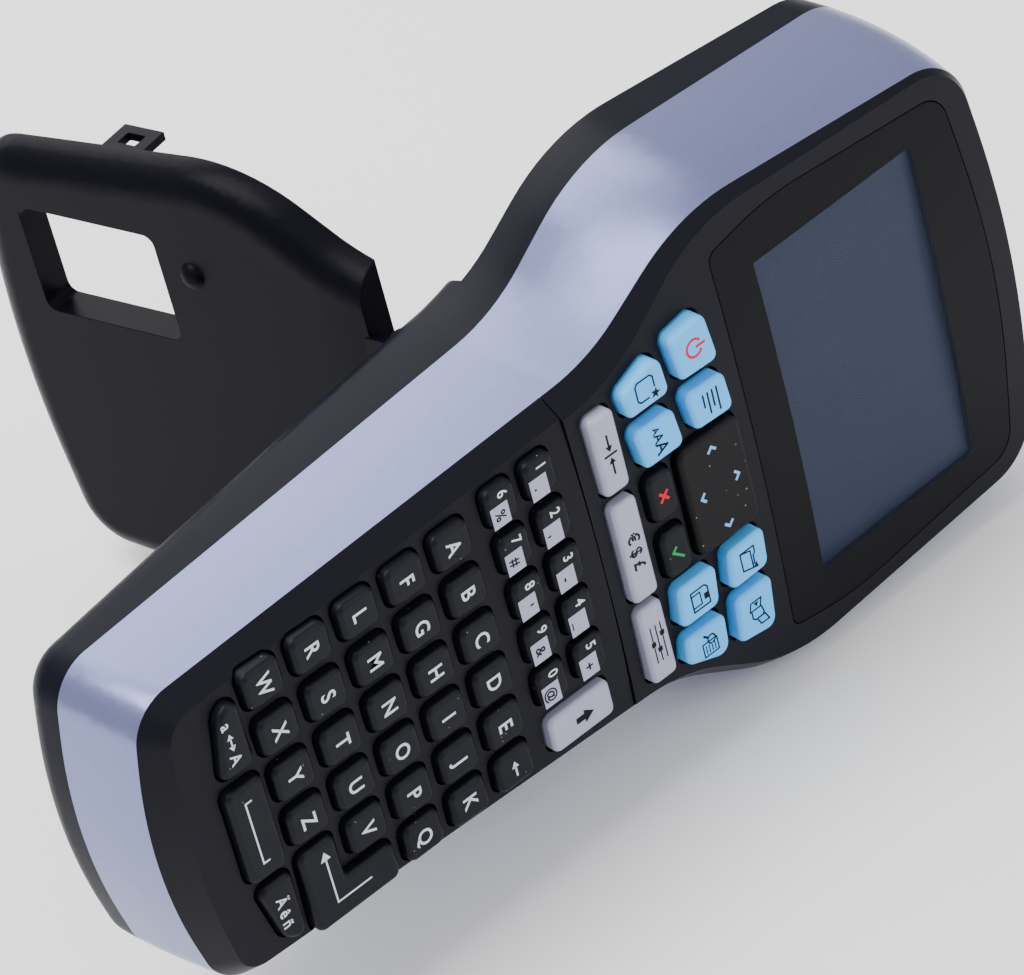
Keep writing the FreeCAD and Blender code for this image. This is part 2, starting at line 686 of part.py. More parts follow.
# ---- cassette door ------------------------------------------------------------------------------
def closed_door(outer):
    """Door as it lies when shut: a shallow tray with a window, a knob, ribs and a latch tab."""
    tray = outer.common(door_region())
    floor_z = BACK_Z + DOOR_SKIN
    hollow = hollow_prism(WALL + 1.0, floor_z, 0)
    hollow = hollow.common(box(-BIG, BIG, DOOR_SHOULDER_Y + DOOR_SKIN, BIG, floor_z, BIG))
    tray = tray.cut(hollow)
    neck = box(-DOOR_NECK_HALF, DOOR_NECK_HALF, HINGE_Y, DOOR_SHOULDER_Y + 1, BACK_Z, BACK_Z + DOOR_SKIN)
    barrel = knuckle(0.0, 2 * DOOR_NECK_HALF, BARREL_RADIUS)
    wx, wy = WINDOW_CENTRE
    x0 = wx - WINDOW_WIDTH / 2
    x1 = wx + WINDOW_WIDTH / 2
    y0 = wy - WINDOW_LENGTH / 2
    y1 = wy + WINDOW_LENGTH / 2
    wall = DOOR_SKIN - 0.8
    collar = rounded_box(x0 - wall, x1 + wall, y0 - wall, y1 + wall, BACK_Z + 1, DOOR_RIM_Z - 0.2, 3.2)
    window = rounded_box(x0, x1, y0, y1, BACK_Z - 5, 0, 2.2)
    kx, ky = KNOB_CENTRE
    knob = Part.makeSphere(KNOB_RADIUS + 0.8, Vector(kx, ky, BACK_Z + 1.4))
    knob = knob.common(box(-BIG, BIG, -BIG, BIG, BACK_Z - 3, BACK_Z + 1))
    door = tray.fuse([neck, barrel, collar, knob, latch_tab().common(outer)]).cut(window)
    gaps = [knuckle(0.0, 2 * BIG, HINGE_PIN_RADIUS + PIN_CLEARANCE)]
    gaps += [knuckle(x, EAR_WIDTH + 2 * DOOR_GAP, SWING_RELIEF) for x in EAR_PLACES]
    return largest(door.cut(gaps))


def latch_tab():
    """Tab with a square catch hole, standing inside the left edge of the door."""
    x0 = -HEAD_WIDTH / 2 + TAB_INSET
    x1 = x0 + TAB_THICKNESS
    tab = box(x0, x1, TAB_Y, TAB_Y + TAB_WIDTH, BACK_Z + 1, DOOR_RIM_Z + TAB_REACH)
    margin = TAB_WIDTH * 0.28
    hole = box(x0 - 1, x1 + 1, TAB_Y + margin, TAB_Y + TAB_WIDTH - margin,
               DOOR_RIM_Z + TAB_REACH - 5.6, DOOR_RIM_Z + TAB_REACH - 2.4)
    return tab.cut(hole)


def latch_pocket():
    """Relief that the tab swings into when the door shuts."""
    x0 = -HEAD_WIDTH / 2 + TAB_INSET - 0.4
    x1 = x0 + TAB_THICKNESS + 0.8
    y1 = TAB_Y + TAB_WIDTH + TAB_SWEEP
    return box(x0, x1, TAB_Y - 0.6, y1, DOOR_RIM_Z - 3.0, DOOR_RIM_Z + TAB_REACH + 0.6)


def opened(shape):
    """Swings a shape from shut to fully open about the hinge."""
    turned = shape.copy()
    turned.rotate(Vector(0, HINGE_Y, HINGE_Z), Vector(1, 0, 0), -DOOR_OPEN_DEG)
    return turned


def door_hinge_pin():
    """Steel pin through the ears and the door's barrel."""
    return knuckle(0.0, 2 * (DOOR_NECK_HALF + OUTER_EAR) - 0.8, HINGE_PIN_RADIUS)


# ---- cassette, its bay and the print mechanism ------------------------------------------------------
def roller_place():
    """Axis of the platen roller, beside the cassette's mouth."""
    cx, cy = CASSETTE_CENTRE
    return cx + CASSETTE_SIZE[0] / 2 - 6.0, cy + CASSETTE_SIZE[1] / 2 + 7.0


def label_x():
    """The label's path: it leaves straight through the display end, beside the roller."""
    return roller_place()[0] - ROLLER_RADIUS - 0.6


def cassette_bay():
    """Open tub behind the board: floor, walls and two locating posts."""
    cx, cy = CASSETTE_CENTRE
    half_x = CASSETTE_SIZE[0] / 2 + 3.0
    half_y = CASSETTE_SIZE[1] / 2 + 2.0
    floor_top = BAY_FLOOR_Z
    floor = plan_prism(WALL + 2.4, floor_top, floor_top + BAY_WALL)
    floor = floor.common(box(-BIG, BIG, cy - half_y - BAY_WALL, HEAD_Y - 10.6, -BIG, BIG))
    depth = 12.0
    wall = box(cx - half_x - BAY_WALL, cx + half_x + BAY_WALL, cy - half_y - BAY_WALL, cy - half_y,
               floor_top - depth, floor_top)
    left = box(cx - half_x - BAY_WALL, cx - half_x, cy - half_y, cy + half_y, floor_top - depth, floor_top)
    tub = floor.fuse(wall).fuse(left)
    for place in (roller_place(), spindle_place()):
        tub = tub.cut(rod(1.8 if place == roller_place() else 3.4, (place[0], place[1], floor_top - 30),
                          (0, 0, 1), 60))
    mx, my = motor_place()
    tub = tub.cut(rod(MOTOR_RADIUS + 0.2, (mx, my, floor_top - 30), (0, 0, 1), 60))
    return largest(tub)


def spindle_place():
    """Axis of the ribbon spindle inside the cassette."""
    cx, cy = CASSETTE_CENTRE
    return cx + 10.0, cy + 8.0


def tape_cassette():
    """Two-part tape cartridge with a mouth at the roller and a window over the tape."""
    cx, cy = CASSETTE_CENTRE
    sx, sy, sz = CASSETTE_SIZE
    z1 = BAY_FLOOR_Z - CASSETTE_CLEARANCE
    z0 = z1 - sz
    shell = rounded_box(cx - sx / 2, cx + sx / 2, cy - sy / 2, cy + sy / 2, z0, z1, 4.0)
    inner = rounded_box(cx - sx / 2 + 1.4, cx + sx / 2 - 1.4, cy - sy / 2 + 1.4, cy + sy / 2 - 1.4,
                        z0 + 1.4, z1 - 1.4, 2.6)
    shell = shell.cut(inner)
    rx, ry = reel_place()
    shell = shell.cut(rod(5.4, (rx, ry, z0 - 1), (0, 0, 1), sz + 2))
    px, py = spindle_place()
    shell = shell.cut(rod(4.2, (px, py, z0 - 1), (0, 0, 1), sz + 2))
    mouth = box(label_x() - 5.0, cx + sx / 2 + 1, cy + sy / 2 - 3.0, cy + sy / 2 + 1, z0 + 1.4, z1 - 1.4)
    return largest(shell.cut(mouth))


def reel_place():
    """Axis of the tape reel."""
    cx, cy = CASSETTE_CENTRE
    return cx - 12.0, cy - 1.0


def tape_reel():
    """Tape wound on its core."""
    rx, ry = reel_place()
    z1 = BAY_FLOOR_Z - CASSETTE_CLEARANCE - 2.2
    z0 = z1 - (CASSETTE_SIZE[2] - 4.4)
    wound = rod(14.5, (rx, ry, z0), (0, 0, 1), z1 - z0)
    core = rod(5.0, (rx, ry, z0 - 1.6), (0, 0, 1), z1 - z0 + 3.2)
    return wound.fuse(core).cut(rod(3.0, (rx, ry, z0 - 5), (0, 0, 1), 40))


def print_head():
    """Thermal head on its heat spreader, facing the roller across the label's path."""
    x, y = roller_place()
    z1 = BAY_FLOOR_Z - 0.1
    plate = box(label_x() - 2.0, label_x() - 0.5, y - 6.0, y + 6.0, z1 - 18.0, z1)
    foot = box(label_x() - 6.0, label_x() - 1.9, y - 4.0, y + 4.0, z1 - 18.0, z1)
    return plate.fuse(foot)


def platen_roller():
    """Rubber roller on a steel shaft."""
    x, y = roller_place()
    z1 = BAY_FLOOR_Z - 0.6
    roller = rod(ROLLER_RADIUS, (x, y, z1 - 17.4), (0, 0, 1), 17.4)
    shaft = rod(1.5, (x, y, z1 - 18.6), (0, 0, 1), 18.6 + 2.4 + GEAR_THICKNESS)
    return roller.fuse(shaft)


def gear(teeth, place, bore, phase=0.0):
    """Spur gear with straight-flanked teeth and running backlash."""
    pitch_radius = teeth * GEAR_MODULE / 2
    outer = pitch_radius + 0.85 * GEAR_MODULE
    root = pitch_radius - 1.25 * GEAR_MODULE
    step = 2 * math.pi / teeth
    points = []
    for tooth in range(teeth):
        middle = tooth * step + phase
        for share, radius in ((-0.34, root), (-0.12, outer), (0.12, outer), (0.34, root)):
            angle = middle + share * step
            points.append(Vector(radius * math.cos(angle), radius * math.sin(angle), 0))
    points.append(points[0])
    wheel = Part.Face(Part.makePolygon(points)).extrude(Vector(0, 0, GEAR_THICKNESS))
    wheel = wheel.cut(rod(bore, (0, 0, -1), (0, 0, 1), GEAR_THICKNESS + 2))
    wheel.translate(Vector(place[0], place[1], GEAR_Z + 1.0))
    return wheel


def centre_distance(first, second):
    """Axis distance of two meshed gears."""
    return (first + second) * GEAR_MODULE / 2


def idler_place():
    """The idler turns the roller's gear from a stud towards the motor side."""
    x, y = roller_place()
    reach = centre_distance(IDLER_TEETH, PLATEN_TEETH)
    angle = math.radians(-26.0)
    return x + reach * math.cos(angle), y + reach * math.sin(angle)


def motor_place():
    """The motor stands beyond the idler."""
    x, y = idler_place()
    reach = centre_distance(IDLER_TEETH, PINION_TEETH)
    angle = math.radians(-95.0)
    return x + reach * math.cos(angle), y + reach * math.sin(angle)


def mesh_phase(driver_place, driver_teeth, driver_phase, place, teeth):
    """Turns a gear so that its gap meets the driver's tooth on the line of centres."""
    line = math.atan2(place[1] - driver_place[1], place[0] - driver_place[0])
    driver_step = 2 * math.pi / driver_teeth
    step = 2 * math.pi / teeth
    share = ((line - driver_phase) / driver_step) % 1.0
    return line + math.pi + share * step + step / 2


def gear_phases():
    """Phase of each gear of the train, starting from the roller's gear."""
    platen = 0.0
    idler = mesh_phase(roller_place(), PLATEN_TEETH, platen, idler_place(), IDLER_TEETH)
    pinion = mesh_phase(idler_place(), IDLER_TEETH, idler, motor_place(), PINION_TEETH)
    return platen, idler, pinion


def platen_gear():
    """Gear pressed on the roller's shaft."""
    return gear(PLATEN_TEETH, roller_place(), 1.5, gear_phases()[0])


def idler_gear():
    """Idler on its stud."""
    return gear(IDLER_TEETH, idler_place(), GEAR_BORE_RADIUS + SHAFT_CLEARANCE, gear_phases()[1])


def idler_stud():
    """Stud that carries the idler."""
    x, y = idler_place()
    post = rod(GEAR_BORE_RADIUS, (x, y, BAY_FLOOR_Z + BAY_WALL - 1.0), (0, 0, 1), 4.4)
    return post


def motor_gear():
    """Pinion on the motor's shaft."""
    return gear(PINION_TEETH, motor_place(), 1.0, gear_phases()[2])


def drive_motor():
    """Round can motor standing beside the cassette."""
    x, y = motor_place()
    top = GEAR_Z + 0.4
    can = rod(MOTOR_RADIUS, (x, y, top - MOTOR_LENGTH), (0, 0, 1), MOTOR_LENGTH)
    flat = box(x + MOTOR_RADIUS - 1.2, x + MOTOR_RADIUS + 1, y - 10, y + 10, top - MOTOR_LENGTH - 1, top + 1)
    return can.cut(flat)


def motor_shaft():
    """Motor's turning shaft."""
    x, y = motor_place()
    return rod(1.0, (x, y, GEAR_Z + 0.6), (0, 0, 1), GEAR_THICKNESS + 1.6)


def ribbon_spindle():
    """Splined spindle that stands in the cassette's take-up core."""
    x, y = spindle_place()
    z1 = BAY_FLOOR_Z + BAY_WALL
    spindle = rod(2.6, (x, y, BAY_FLOOR_Z - 15.0), (0, 0, 1), 15.0 + BAY_WALL)
    for side in range(6):
        angle = side * math.pi / 3
        spline = rod(0.5, (x + 2.7 * math.cos(angle), y + 2.7 * math.sin(angle), BAY_FLOOR_Z - 13.0),
                     (0, 0, 1), 11.0)
        spindle = spindle.fuse(spline)
    flange = rod(3.2, (x, y, z1 - 0.4), (0, 0, 1), 1.2)
    return spindle.fuse(flange)


def main_board():
    """Circuit board behind the keys and the display."""
    board = plan_prism(WALL + 1.6, BOARD_Z - BOARD_THICKNESS, BOARD_Z)
    return board


def keypad_mat():
    """Rubber switch mat between the keys and the board."""
    mat = plan_prism(WALL + 3.2, MAT_Z - MAT_THICKNESS, MAT_Z)
    return mat.common(box(-BIG, BIG, -BIG, LENS_BOTTOM_Y - 3.0, -BIG, BIG))


# ---- cutter and ports -------------------------------------------------------------------------------
def cutter_button_block(grow):
    """Push button in the right corner of the display end."""
    x0 = label_x() + 5.0
    return rounded_button(x0 - grow, x0 + 13.0 + grow, -33.0 - grow, -23.0 + grow, grow)


def rounded_button(x0, x1, z0, z1, grow):
    """Upright rounded block through the end wall."""
    block = rounded_box(x0, x1, z0, z1, -(HEAD_Y + 3.2 + grow), -(HEAD_Y - 8.0 - grow), 2.0)
    block.rotate(Vector(0, 0, 0), Vector(1, 0, 0), 90)
    return block


def cutter_button():
    """Sprung cutter button."""
    return cutter_button_block(0.0)


def cutter_blade():
    """Blade that crosses the label's path just inside the end wall."""
    x = label_x()
    plate = box(x + 1.6, x + 4.6, HEAD_Y - 10.6, HEAD_Y - 10.0, -37.0, BAY_FLOOR_Z - 0.4)
    return plate


def usb_shell(grow):
    """USB socket in the left of the display end."""
    return box(-30.0 - grow, -21.0 + grow, HEAD_Y - 9.0 - grow, HEAD_Y + 3.0, -24.0 - grow, -20.0 + grow)


def usb_port():
    """USB socket body with its mouth."""
    body = box(-30.0, -21.0, HEAD_Y - 9.0, HEAD_Y - 0.4, -24.0, -20.0)
    return body.cut(box(-29.4, -21.6, HEAD_Y - 7.0, HEAD_Y + 2, -23.4, -20.6))


def jack_shell(grow):
    """Power socket in the left of the display end."""
    return rod(3.6 + grow, (-38.0, HEAD_Y - 11.0, -22.0), (0, 1, 0), 16.0)


def power_jack():
    """Power socket: a barrel with a centre pin."""
    barrel = rod(3.6, (-38.0, HEAD_Y - 10.0, -22.0), (0, 1, 0), 7.0)
    barrel = barrel.cut(rod(2.8, (-38.0, HEAD_Y - 9.0, -22.0), (0, 1, 0), 10.0))
    return barrel.fuse(rod(0.9, (-38.0, HEAD_Y - 9.5, -22.0), (0, 1, 0), 6.0))


# ---- assembly -------------------------------------------------------------------------------------
def build_device():
    """Every node in the device frame, with the door standing open."""
    body = body_solid()
    outer = rounded_back(body)
    nodes = {
        "rear_shell": rear_shell(outer),
        "side_band": side_band(body),
        "upper_panel": panel(True),
        "lower_panel": panel(False),
        "display_lens": display_lens(),
        "lcd_module": lcd_module(),
        "cassette_door": opened(closed_door(outer)),
        "door_hinge_pin": door_hinge_pin(),
        "battery_cover": battery_cover(outer),
        "battery_pack": battery_pack(),
        "main_board": main_board(),
        "keypad_mat": keypad_mat(),
        "cassette_bay": cassette_bay().fuse(idler_stud()),
        "print_head": print_head(),
        "platen_roller": platen_roller(),
        "platen_gear": platen_gear(),
        "idler_gear": idler_gear(),
        "drive_motor": drive_motor(),
        "motor_gear": motor_gear().fuse(motor_shaft()),
        "ribbon_spindle": ribbon_spindle(),
        "tape_cassette": tape_cassette(),
        "tape_reel": tape_reel(),
        "cutter_button": cutter_button(),
        "cutter_blade": cutter_blade(),
        "usb_port": usb_port(),
        "power_jack": power_jack(),
        "case_screws": case_screws(),
    }
    for name, corners in key_outlines().items():
        nodes[name] = make_key(name, corners)
    letters = [make_key("letter", corners) for corners in letter_outlines()]
    nodes["letter_keys"] = Part.makeCompound(letters)
    return nodes


def lay_on_side(nodes):
    """Turns the device frame to the resting frame and puts the origin under its middle."""
    turn = Matrix(0, 1, 0, 0, 0, 0, -1, 0, -1, 0, 0, 0, 0, 0, 0, 1)
    laid = {name: moved(shape, turn) for name, shape in nodes.items()}
    limits = Part.makeCompound(list(laid.values())).optimalBoundingBox(False, False)
    shift = Vector(-(limits.XMin + limits.XMax) / 2, -(limits.YMin + limits.YMax) / 2, -limits.ZMin)
    for shape in laid.values():
        shape.translate(shift)
    print("origin in the device frame:", [round(v, 4) for v in (shift.x, shift.y, shift.z)])
    return laid


def moved(shape, turn):
    """A copy of a shape turned by a matrix, with the turn baked into it."""
    copy = shape.copy()
    copy.Placement = Placement(turn).multiply(copy.Placement)
    return copy


def main():
    """Builds every node and writes its STEP file."""
    os.makedirs("parts", exist_ok=True)
    for name, shape in lay_on_side(build_device()).items():
        print(name, shape.isValid(), len(shape.Solids), round(shape.Volume, 1))
        shape.exportStep("parts/%s.step" % name)


main()
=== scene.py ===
"""Visual model of a hand-held label maker, dressed over its CAD frame."""

import json
import logging
import math
from dataclasses import dataclass, field
from enum import Enum

import bmesh
import bpy
from mathutils import Matrix, Vector

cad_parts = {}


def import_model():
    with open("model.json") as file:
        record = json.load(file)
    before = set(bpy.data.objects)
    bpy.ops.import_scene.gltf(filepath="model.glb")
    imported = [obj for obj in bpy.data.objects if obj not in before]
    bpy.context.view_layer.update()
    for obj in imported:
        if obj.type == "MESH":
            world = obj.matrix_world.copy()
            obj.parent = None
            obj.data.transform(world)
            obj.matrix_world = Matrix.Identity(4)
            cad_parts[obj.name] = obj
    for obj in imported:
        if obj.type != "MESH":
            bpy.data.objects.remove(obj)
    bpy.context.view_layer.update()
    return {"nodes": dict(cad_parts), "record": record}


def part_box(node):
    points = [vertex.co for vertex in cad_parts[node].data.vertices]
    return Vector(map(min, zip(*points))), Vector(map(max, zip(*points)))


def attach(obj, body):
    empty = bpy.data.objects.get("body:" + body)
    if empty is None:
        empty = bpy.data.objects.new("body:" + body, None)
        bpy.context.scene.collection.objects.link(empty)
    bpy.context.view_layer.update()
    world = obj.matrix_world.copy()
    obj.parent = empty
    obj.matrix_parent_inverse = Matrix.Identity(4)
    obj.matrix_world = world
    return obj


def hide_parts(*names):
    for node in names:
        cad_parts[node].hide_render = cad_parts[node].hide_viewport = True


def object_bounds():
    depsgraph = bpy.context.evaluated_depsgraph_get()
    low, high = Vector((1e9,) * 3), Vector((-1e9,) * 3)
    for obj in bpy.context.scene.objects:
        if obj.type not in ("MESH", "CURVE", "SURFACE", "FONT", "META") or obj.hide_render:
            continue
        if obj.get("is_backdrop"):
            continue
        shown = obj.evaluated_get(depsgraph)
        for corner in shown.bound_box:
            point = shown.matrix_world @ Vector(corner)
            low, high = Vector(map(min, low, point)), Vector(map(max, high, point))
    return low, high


LOG = logging.getLogger("label_maker")
MM = 0.001
SHARP_DEGREES = 30.0  # edges sharper than this are rounded and shade as edges
CAP_SHARE = 0.70  # height of a capital as a share of the font's size
PRINT_DEPTH = 0.04  # thickness of printed marks, in millimetres
PRINT_LIFT = 0.015  # height of printed marks above their surface
SYMBOL_LIFT = 0.03  # further height of a symbol above its bright tab
CAP_REACH = 1.01  # search around a cap, as a share of its half size
HEAD_SPREAD = 0.62  # half width of an arrow head as a share of its length
Point = tuple[float, float]
Polygon = list[Point]


# ---- finishes -----------------------------------------------------------------------------------
class Grain(Enum):
    """Kinds of fine surface relief."""

    NONE = "none"
    SATIN = "satin"
    SPARK = "spark"
    MOULDED = "moulded"


def linear(channel: float) -> float:
    """Linear light of a display channel from 0 to 255."""
    share = channel / 255.0
    return share / 12.92 if share <= 0.04045 else ((share + 0.055) / 1.055) ** 2.4


def rgba(colour: tuple[int, int, int]) -> tuple[float, float, float, float]:
    """Linear colour with full alpha from display values."""
    return (linear(colour[0]), linear(colour[1]), linear(colour[2]), 1.0)


def new_group(
    name: str, inputs: list[tuple[str, str, object]], outputs: list[tuple[str, str]]
) -> bpy.types.NodeTree:
    """Makes an empty shader node group with named sockets.

    Args:
        name: Name of the group.
        inputs: Name, socket type and default value of each input.
        outputs: Name and socket type of each output.

    Returns:
        The node tree, with its input and output nodes in place.
    """
    tree = bpy.data.node_groups.new(name, "ShaderNodeTree")
    for label, kind, default in inputs:
        tree.interface.new_socket(label, in_out="INPUT", socket_type=kind).default_value = default
    for label, kind in outputs:
        tree.interface.new_socket(label, in_out="OUTPUT", socket_type=kind)
    tree.nodes.new("NodeGroupInput")
    tree.nodes.new("NodeGroupOutput")
    return tree


class Effects:
    """Shader node groups that several finishes share."""

    def __init__(self) -> None:
        """Builds each group once."""
        self.relief = self._relief()
        self.mottle = self._mottle()
        self.dust = self._dust()

    @staticmethod
    def _noise(tree: bpy.types.NodeTree, source: bpy.types.NodeSocket, detail: float) -> bpy.types.Node:
        """Noise on object coordinates whose scale comes from a socket.

        Args:
            tree: Tree that takes the nodes.
            source: Socket that gives the scale.
            detail: Octaves of the noise.

        Returns:
            The noise node.
        """
        place = tree.nodes.new("ShaderNodeTexCoord")
        noise = tree.nodes.new("ShaderNodeTexNoise")
        noise.inputs["Detail"].default_value = detail
        tree.links.new(place.outputs["Object"], noise.inputs["Vector"])
        tree.links.new(source, noise.inputs["Scale"])
        return noise

    def _relief(self) -> bpy.types.NodeTree:
        """Fine relief: noise turned into a normal."""
        tree = new_group(
            "fine_relief",
            [("Scale", "NodeSocketFloat", 2000.0), ("Strength", "NodeSocketFloat", 0.1)],
            [("Normal", "NodeSocketVector")],
        )
        start, end = tree.nodes["Group Input"], tree.nodes["Group Output"]
        noise = self._noise(tree, start.outputs["Scale"], 2.0)
        bump = tree.nodes.new("ShaderNodeBump")
        bump.inputs["Distance"].default_value = 0.05 * MM
        tree.links.new(noise.outputs["Fac"], bump.inputs["Height"])
        tree.links.new(start.outputs["Strength"], bump.inputs["Strength"])
        tree.links.new(bump.outputs["Normal"], end.inputs["Normal"])
        return tree

    def _mottle(self) -> bpy.types.NodeTree:
        """Slight drift between two colours."""
        tree = new_group(
            "colour_drift",
            [
                ("Colour", "NodeSocketColor", (0.5, 0.5, 0.5, 1.0)),
                ("Other", "NodeSocketColor", (0.5, 0.5, 0.5, 1.0)),
                ("Scale", "NodeSocketFloat", 60.0),
            ],
            [("Colour", "NodeSocketColor")],
        )
        start, end = tree.nodes["Group Input"], tree.nodes["Group Output"]
        noise = self._noise(tree, start.outputs["Scale"], 3.0)
        mix = tree.nodes.new("ShaderNodeMix")
        mix.data_type = "RGBA"
        tree.links.new(noise.outputs["Fac"], mix.inputs["Factor"])
        tree.links.new(start.outputs["Colour"], mix.inputs[6])
        tree.links.new(start.outputs["Other"], mix.inputs[7])
        tree.links.new(mix.outputs[2], end.inputs["Colour"])
        return tree

    def _dust(self) -> bpy.types.NodeTree:
        """Sparse pale specks laid over a colour."""
        tree = new_group(
            "dust_specks",
            [
                ("Colour", "NodeSocketColor", (0.5, 0.5, 0.5, 1.0)),
                ("Speck", "NodeSocketColor", (0.3, 0.28, 0.25, 1.0)),
                ("Scale", "NodeSocketFloat", 900.0),
                ("Size", "NodeSocketFloat", 0.12),
            ],
            [("Colour", "NodeSocketColor")],
        )
        start, end = tree.nodes["Group Input"], tree.nodes["Group Output"]
        place = tree.nodes.new("ShaderNodeTexCoord")
        cells = tree.nodes.new("ShaderNodeTexVoronoi")
        cells.inputs["Randomness"].default_value = 1.0
        tree.links.new(place.outputs["Object"], cells.inputs["Vector"])
        tree.links.new(start.outputs["Scale"], cells.inputs["Scale"])
        near = tree.nodes.new("ShaderNodeMath")
        near.operation = "LESS_THAN"
        tree.links.new(cells.outputs["Distance"], near.inputs[0])
        tree.links.new(start.outputs["Size"], near.inputs[1])
        rare = tree.nodes.new("ShaderNodeSeparateColor")
        tree.links.new(cells.outputs["Color"], rare.inputs["Color"])
        few = tree.nodes.new("ShaderNodeMath")
        few.operation = "GREATER_THAN"
        few.inputs[1].default_value = 0.9
        tree.links.new(rare.outputs["Red"], few.inputs[0])
        both = tree.nodes.new("ShaderNodeMath")
        both.operation = "MULTIPLY"
        tree.links.new(near.outputs[0], both.inputs[0])
        tree.links.new(few.outputs[0], both.inputs[1])
        mix = tree.nodes.new("ShaderNodeMix")
        mix.data_type = "RGBA"
        tree.links.new(both.outputs[0], mix.inputs["Factor"])
        tree.links.new(start.outputs["Colour"], mix.inputs[6])
        tree.links.new(start.outputs["Speck"], mix.inputs[7])
        tree.links.new(mix.outputs[2], end.inputs["Colour"])
        return tree


@dataclass(frozen=True)
class Finish:
    """One surface finish; colours are display values from 0 to 255."""

    name: str
    slot: str
    colour: tuple[int, int, int]
    drift: tuple[int, int, int] | None = None
    drift_scale: float = 60.0
    roughness: float = 0.4
    metallic: float = 0.0
    specular: float = 0.5
    coat: float = 0.0
    coat_roughness: float = 0.1
    grain: Grain = Grain.NONE
    dust: float = 0.0

    def material(self, effects: Effects) -> bpy.types.Material:
        """Builds the material, or returns it if it is already there.

        Args:
            effects: The shared shader groups.

        Returns:
            The Blender material.
        """
        title = "finish_" + self.name
        found = bpy.data.materials.get(title)
        if found:
            return found
        made = bpy.data.materials.new(title)
        made.use_nodes = True
        tree = made.node_tree
        shader = tree.nodes["Principled BSDF"]
        shader.inputs["Base Color"].default_value = rgba(self.colour)
        shader.inputs["Roughness"].default_value = self.roughness
        shader.inputs["Metallic"].default_value = self.metallic
        shader.inputs["Specular IOR Level"].default_value = self.specular
        shader.inputs["Coat Weight"].default_value = self.coat
        shader.inputs["Coat Roughness"].default_value = self.coat_roughness
        self._colour_nodes(tree, shader, effects)
        self._relief_nodes(tree, shader, effects)
        return made

    def _colour_nodes(self, tree: bpy.types.NodeTree, shader: bpy.types.Node, effects: Effects) -> None:
        """Links the drifting colour and the dust, in that order.

        Args:
            tree: The material's tree.
            shader: Its principled shader.
            effects: The shared shader groups.
        """
        colour = None
        if self.drift:
            node = tree.nodes.new("ShaderNodeGroup")
            node.node_tree = effects.mottle
            node.inputs["Colour"].default_value = rgba(self.colour)
            node.inputs["Other"].default_value = rgba(self.drift)
            node.inputs["Scale"].default_value = self.drift_scale
            colour = node.outputs["Colour"]
        if self.dust:
            node = tree.nodes.new("ShaderNodeGroup")
            node.node_tree = effects.dust
            node.inputs["Size"].default_value = self.dust
            if colour:
                tree.links.new(colour, node.inputs["Colour"])
            else:
                node.inputs["Colour"].default_value = rgba(self.colour)
            colour = node.outputs["Colour"]
        if colour:
            tree.links.new(colour, shader.inputs["Base Color"])

    def _relief_nodes(self, tree: bpy.types.NodeTree, shader: bpy.types.Node, effects: Effects) -> None:
        """Links the fine relief that the grain asks for.

        Args:
            tree: The material's tree.
            shader: Its principled shader.
            effects: The shared shader groups.
        """
        strengths = {
            Grain.SATIN: (2600.0, 0.10),
            Grain.SPARK: (5200.0, 0.35),
            Grain.MOULDED: (4200.0, 0.30),
        }
        if self.grain not in strengths:
            return
        scale, strength = strengths[self.grain]
        node = tree.nodes.new("ShaderNodeGroup")
        node.node_tree = effects.relief
        node.inputs["Scale"].default_value = scale
        node.inputs["Strength"].default_value = strength
        tree.links.new(node.outputs["Normal"], shader.inputs["Normal"])


BAND = Finish(
    "band_paint", "band_paint", (122, 127, 168), (112, 117, 160),
    900.0, 0.28, 0.7, grain=Grain.SPARK,
)
SHELL = Finish(
    "shell_black", "shell_black", (13, 14, 24), (16, 17, 27),
    40.0, 0.38, specular=0.05, grain=Grain.MOULDED,
)
PANEL = Finish(
    "panel_black", "panel_black", (14, 14, 21), (17, 17, 25),
    50.0, 0.38, specular=0.1, grain=Grain.SATIN,
)
DOOR = Finish(
    "door_black", "door_black", (9, 9, 16), (11, 11, 19),
    70.0, 0.32, specular=0.05, grain=Grain.MOULDED,
)
KEY_BLACK = Finish(
    "key_rubber", "key_black", (14, 15, 22), (19, 20, 27),
    300.0, 0.42, specular=0.12, grain=Grain.SATIN, dust=0.10,
)
PAD_BLACK = Finish(
    "pad_rubber", "key_black", (13, 12, 16), (24, 21, 22),
    140.0, 0.5, specular=0.12, grain=Grain.SATIN, dust=0.16,
)
KEY_BLUE = Finish(
    "key_blue", "key_blue", (80, 180, 255), (88, 186, 255),
    150.0, 0.38, specular=0.2, grain=Grain.SATIN,
)
KEY_SILVER = Finish(
    "key_silver", "key_silver", (152, 150, 174), (160, 158, 182),
    300.0, 0.34, grain=Grain.SATIN,
)
LCD = Finish("display_glass", "lcd", (46, 54, 76), (50, 58, 80), 30.0, 0.3, specular=0.2)
STEEL = Finish("bright_steel", "steel", (190, 190, 196), (170, 170, 178), 500.0, 0.28, 1.0)
RUBBER = Finish(
    "roller_rubber", "rubber", (38, 38, 41), (48, 48, 50),
    400.0, 0.75, grain=Grain.SATIN,
)
BOARD = Finish("board_green", "board", (28, 84, 52), (36, 96, 60), 300.0, 0.45)
BAY = Finish("bay_grey", "bay_grey", (60, 62, 70), (66, 68, 76), 80.0, 0.5, grain=Grain.MOULDED)
NYLON = Finish("gear_nylon", "gear_white", (226, 224, 216), (214, 212, 204), 400.0, 0.45)
CASSETTE = Finish(
    "cassette_grey", "cassette_grey", (92, 94, 104), (98, 100, 110),
    90.0, 0.42, grain=Grain.MOULDED,
)
TAPE = Finish("white_tape", "tape", (232, 232, 228), (222, 222, 218), 900.0, 0.35)
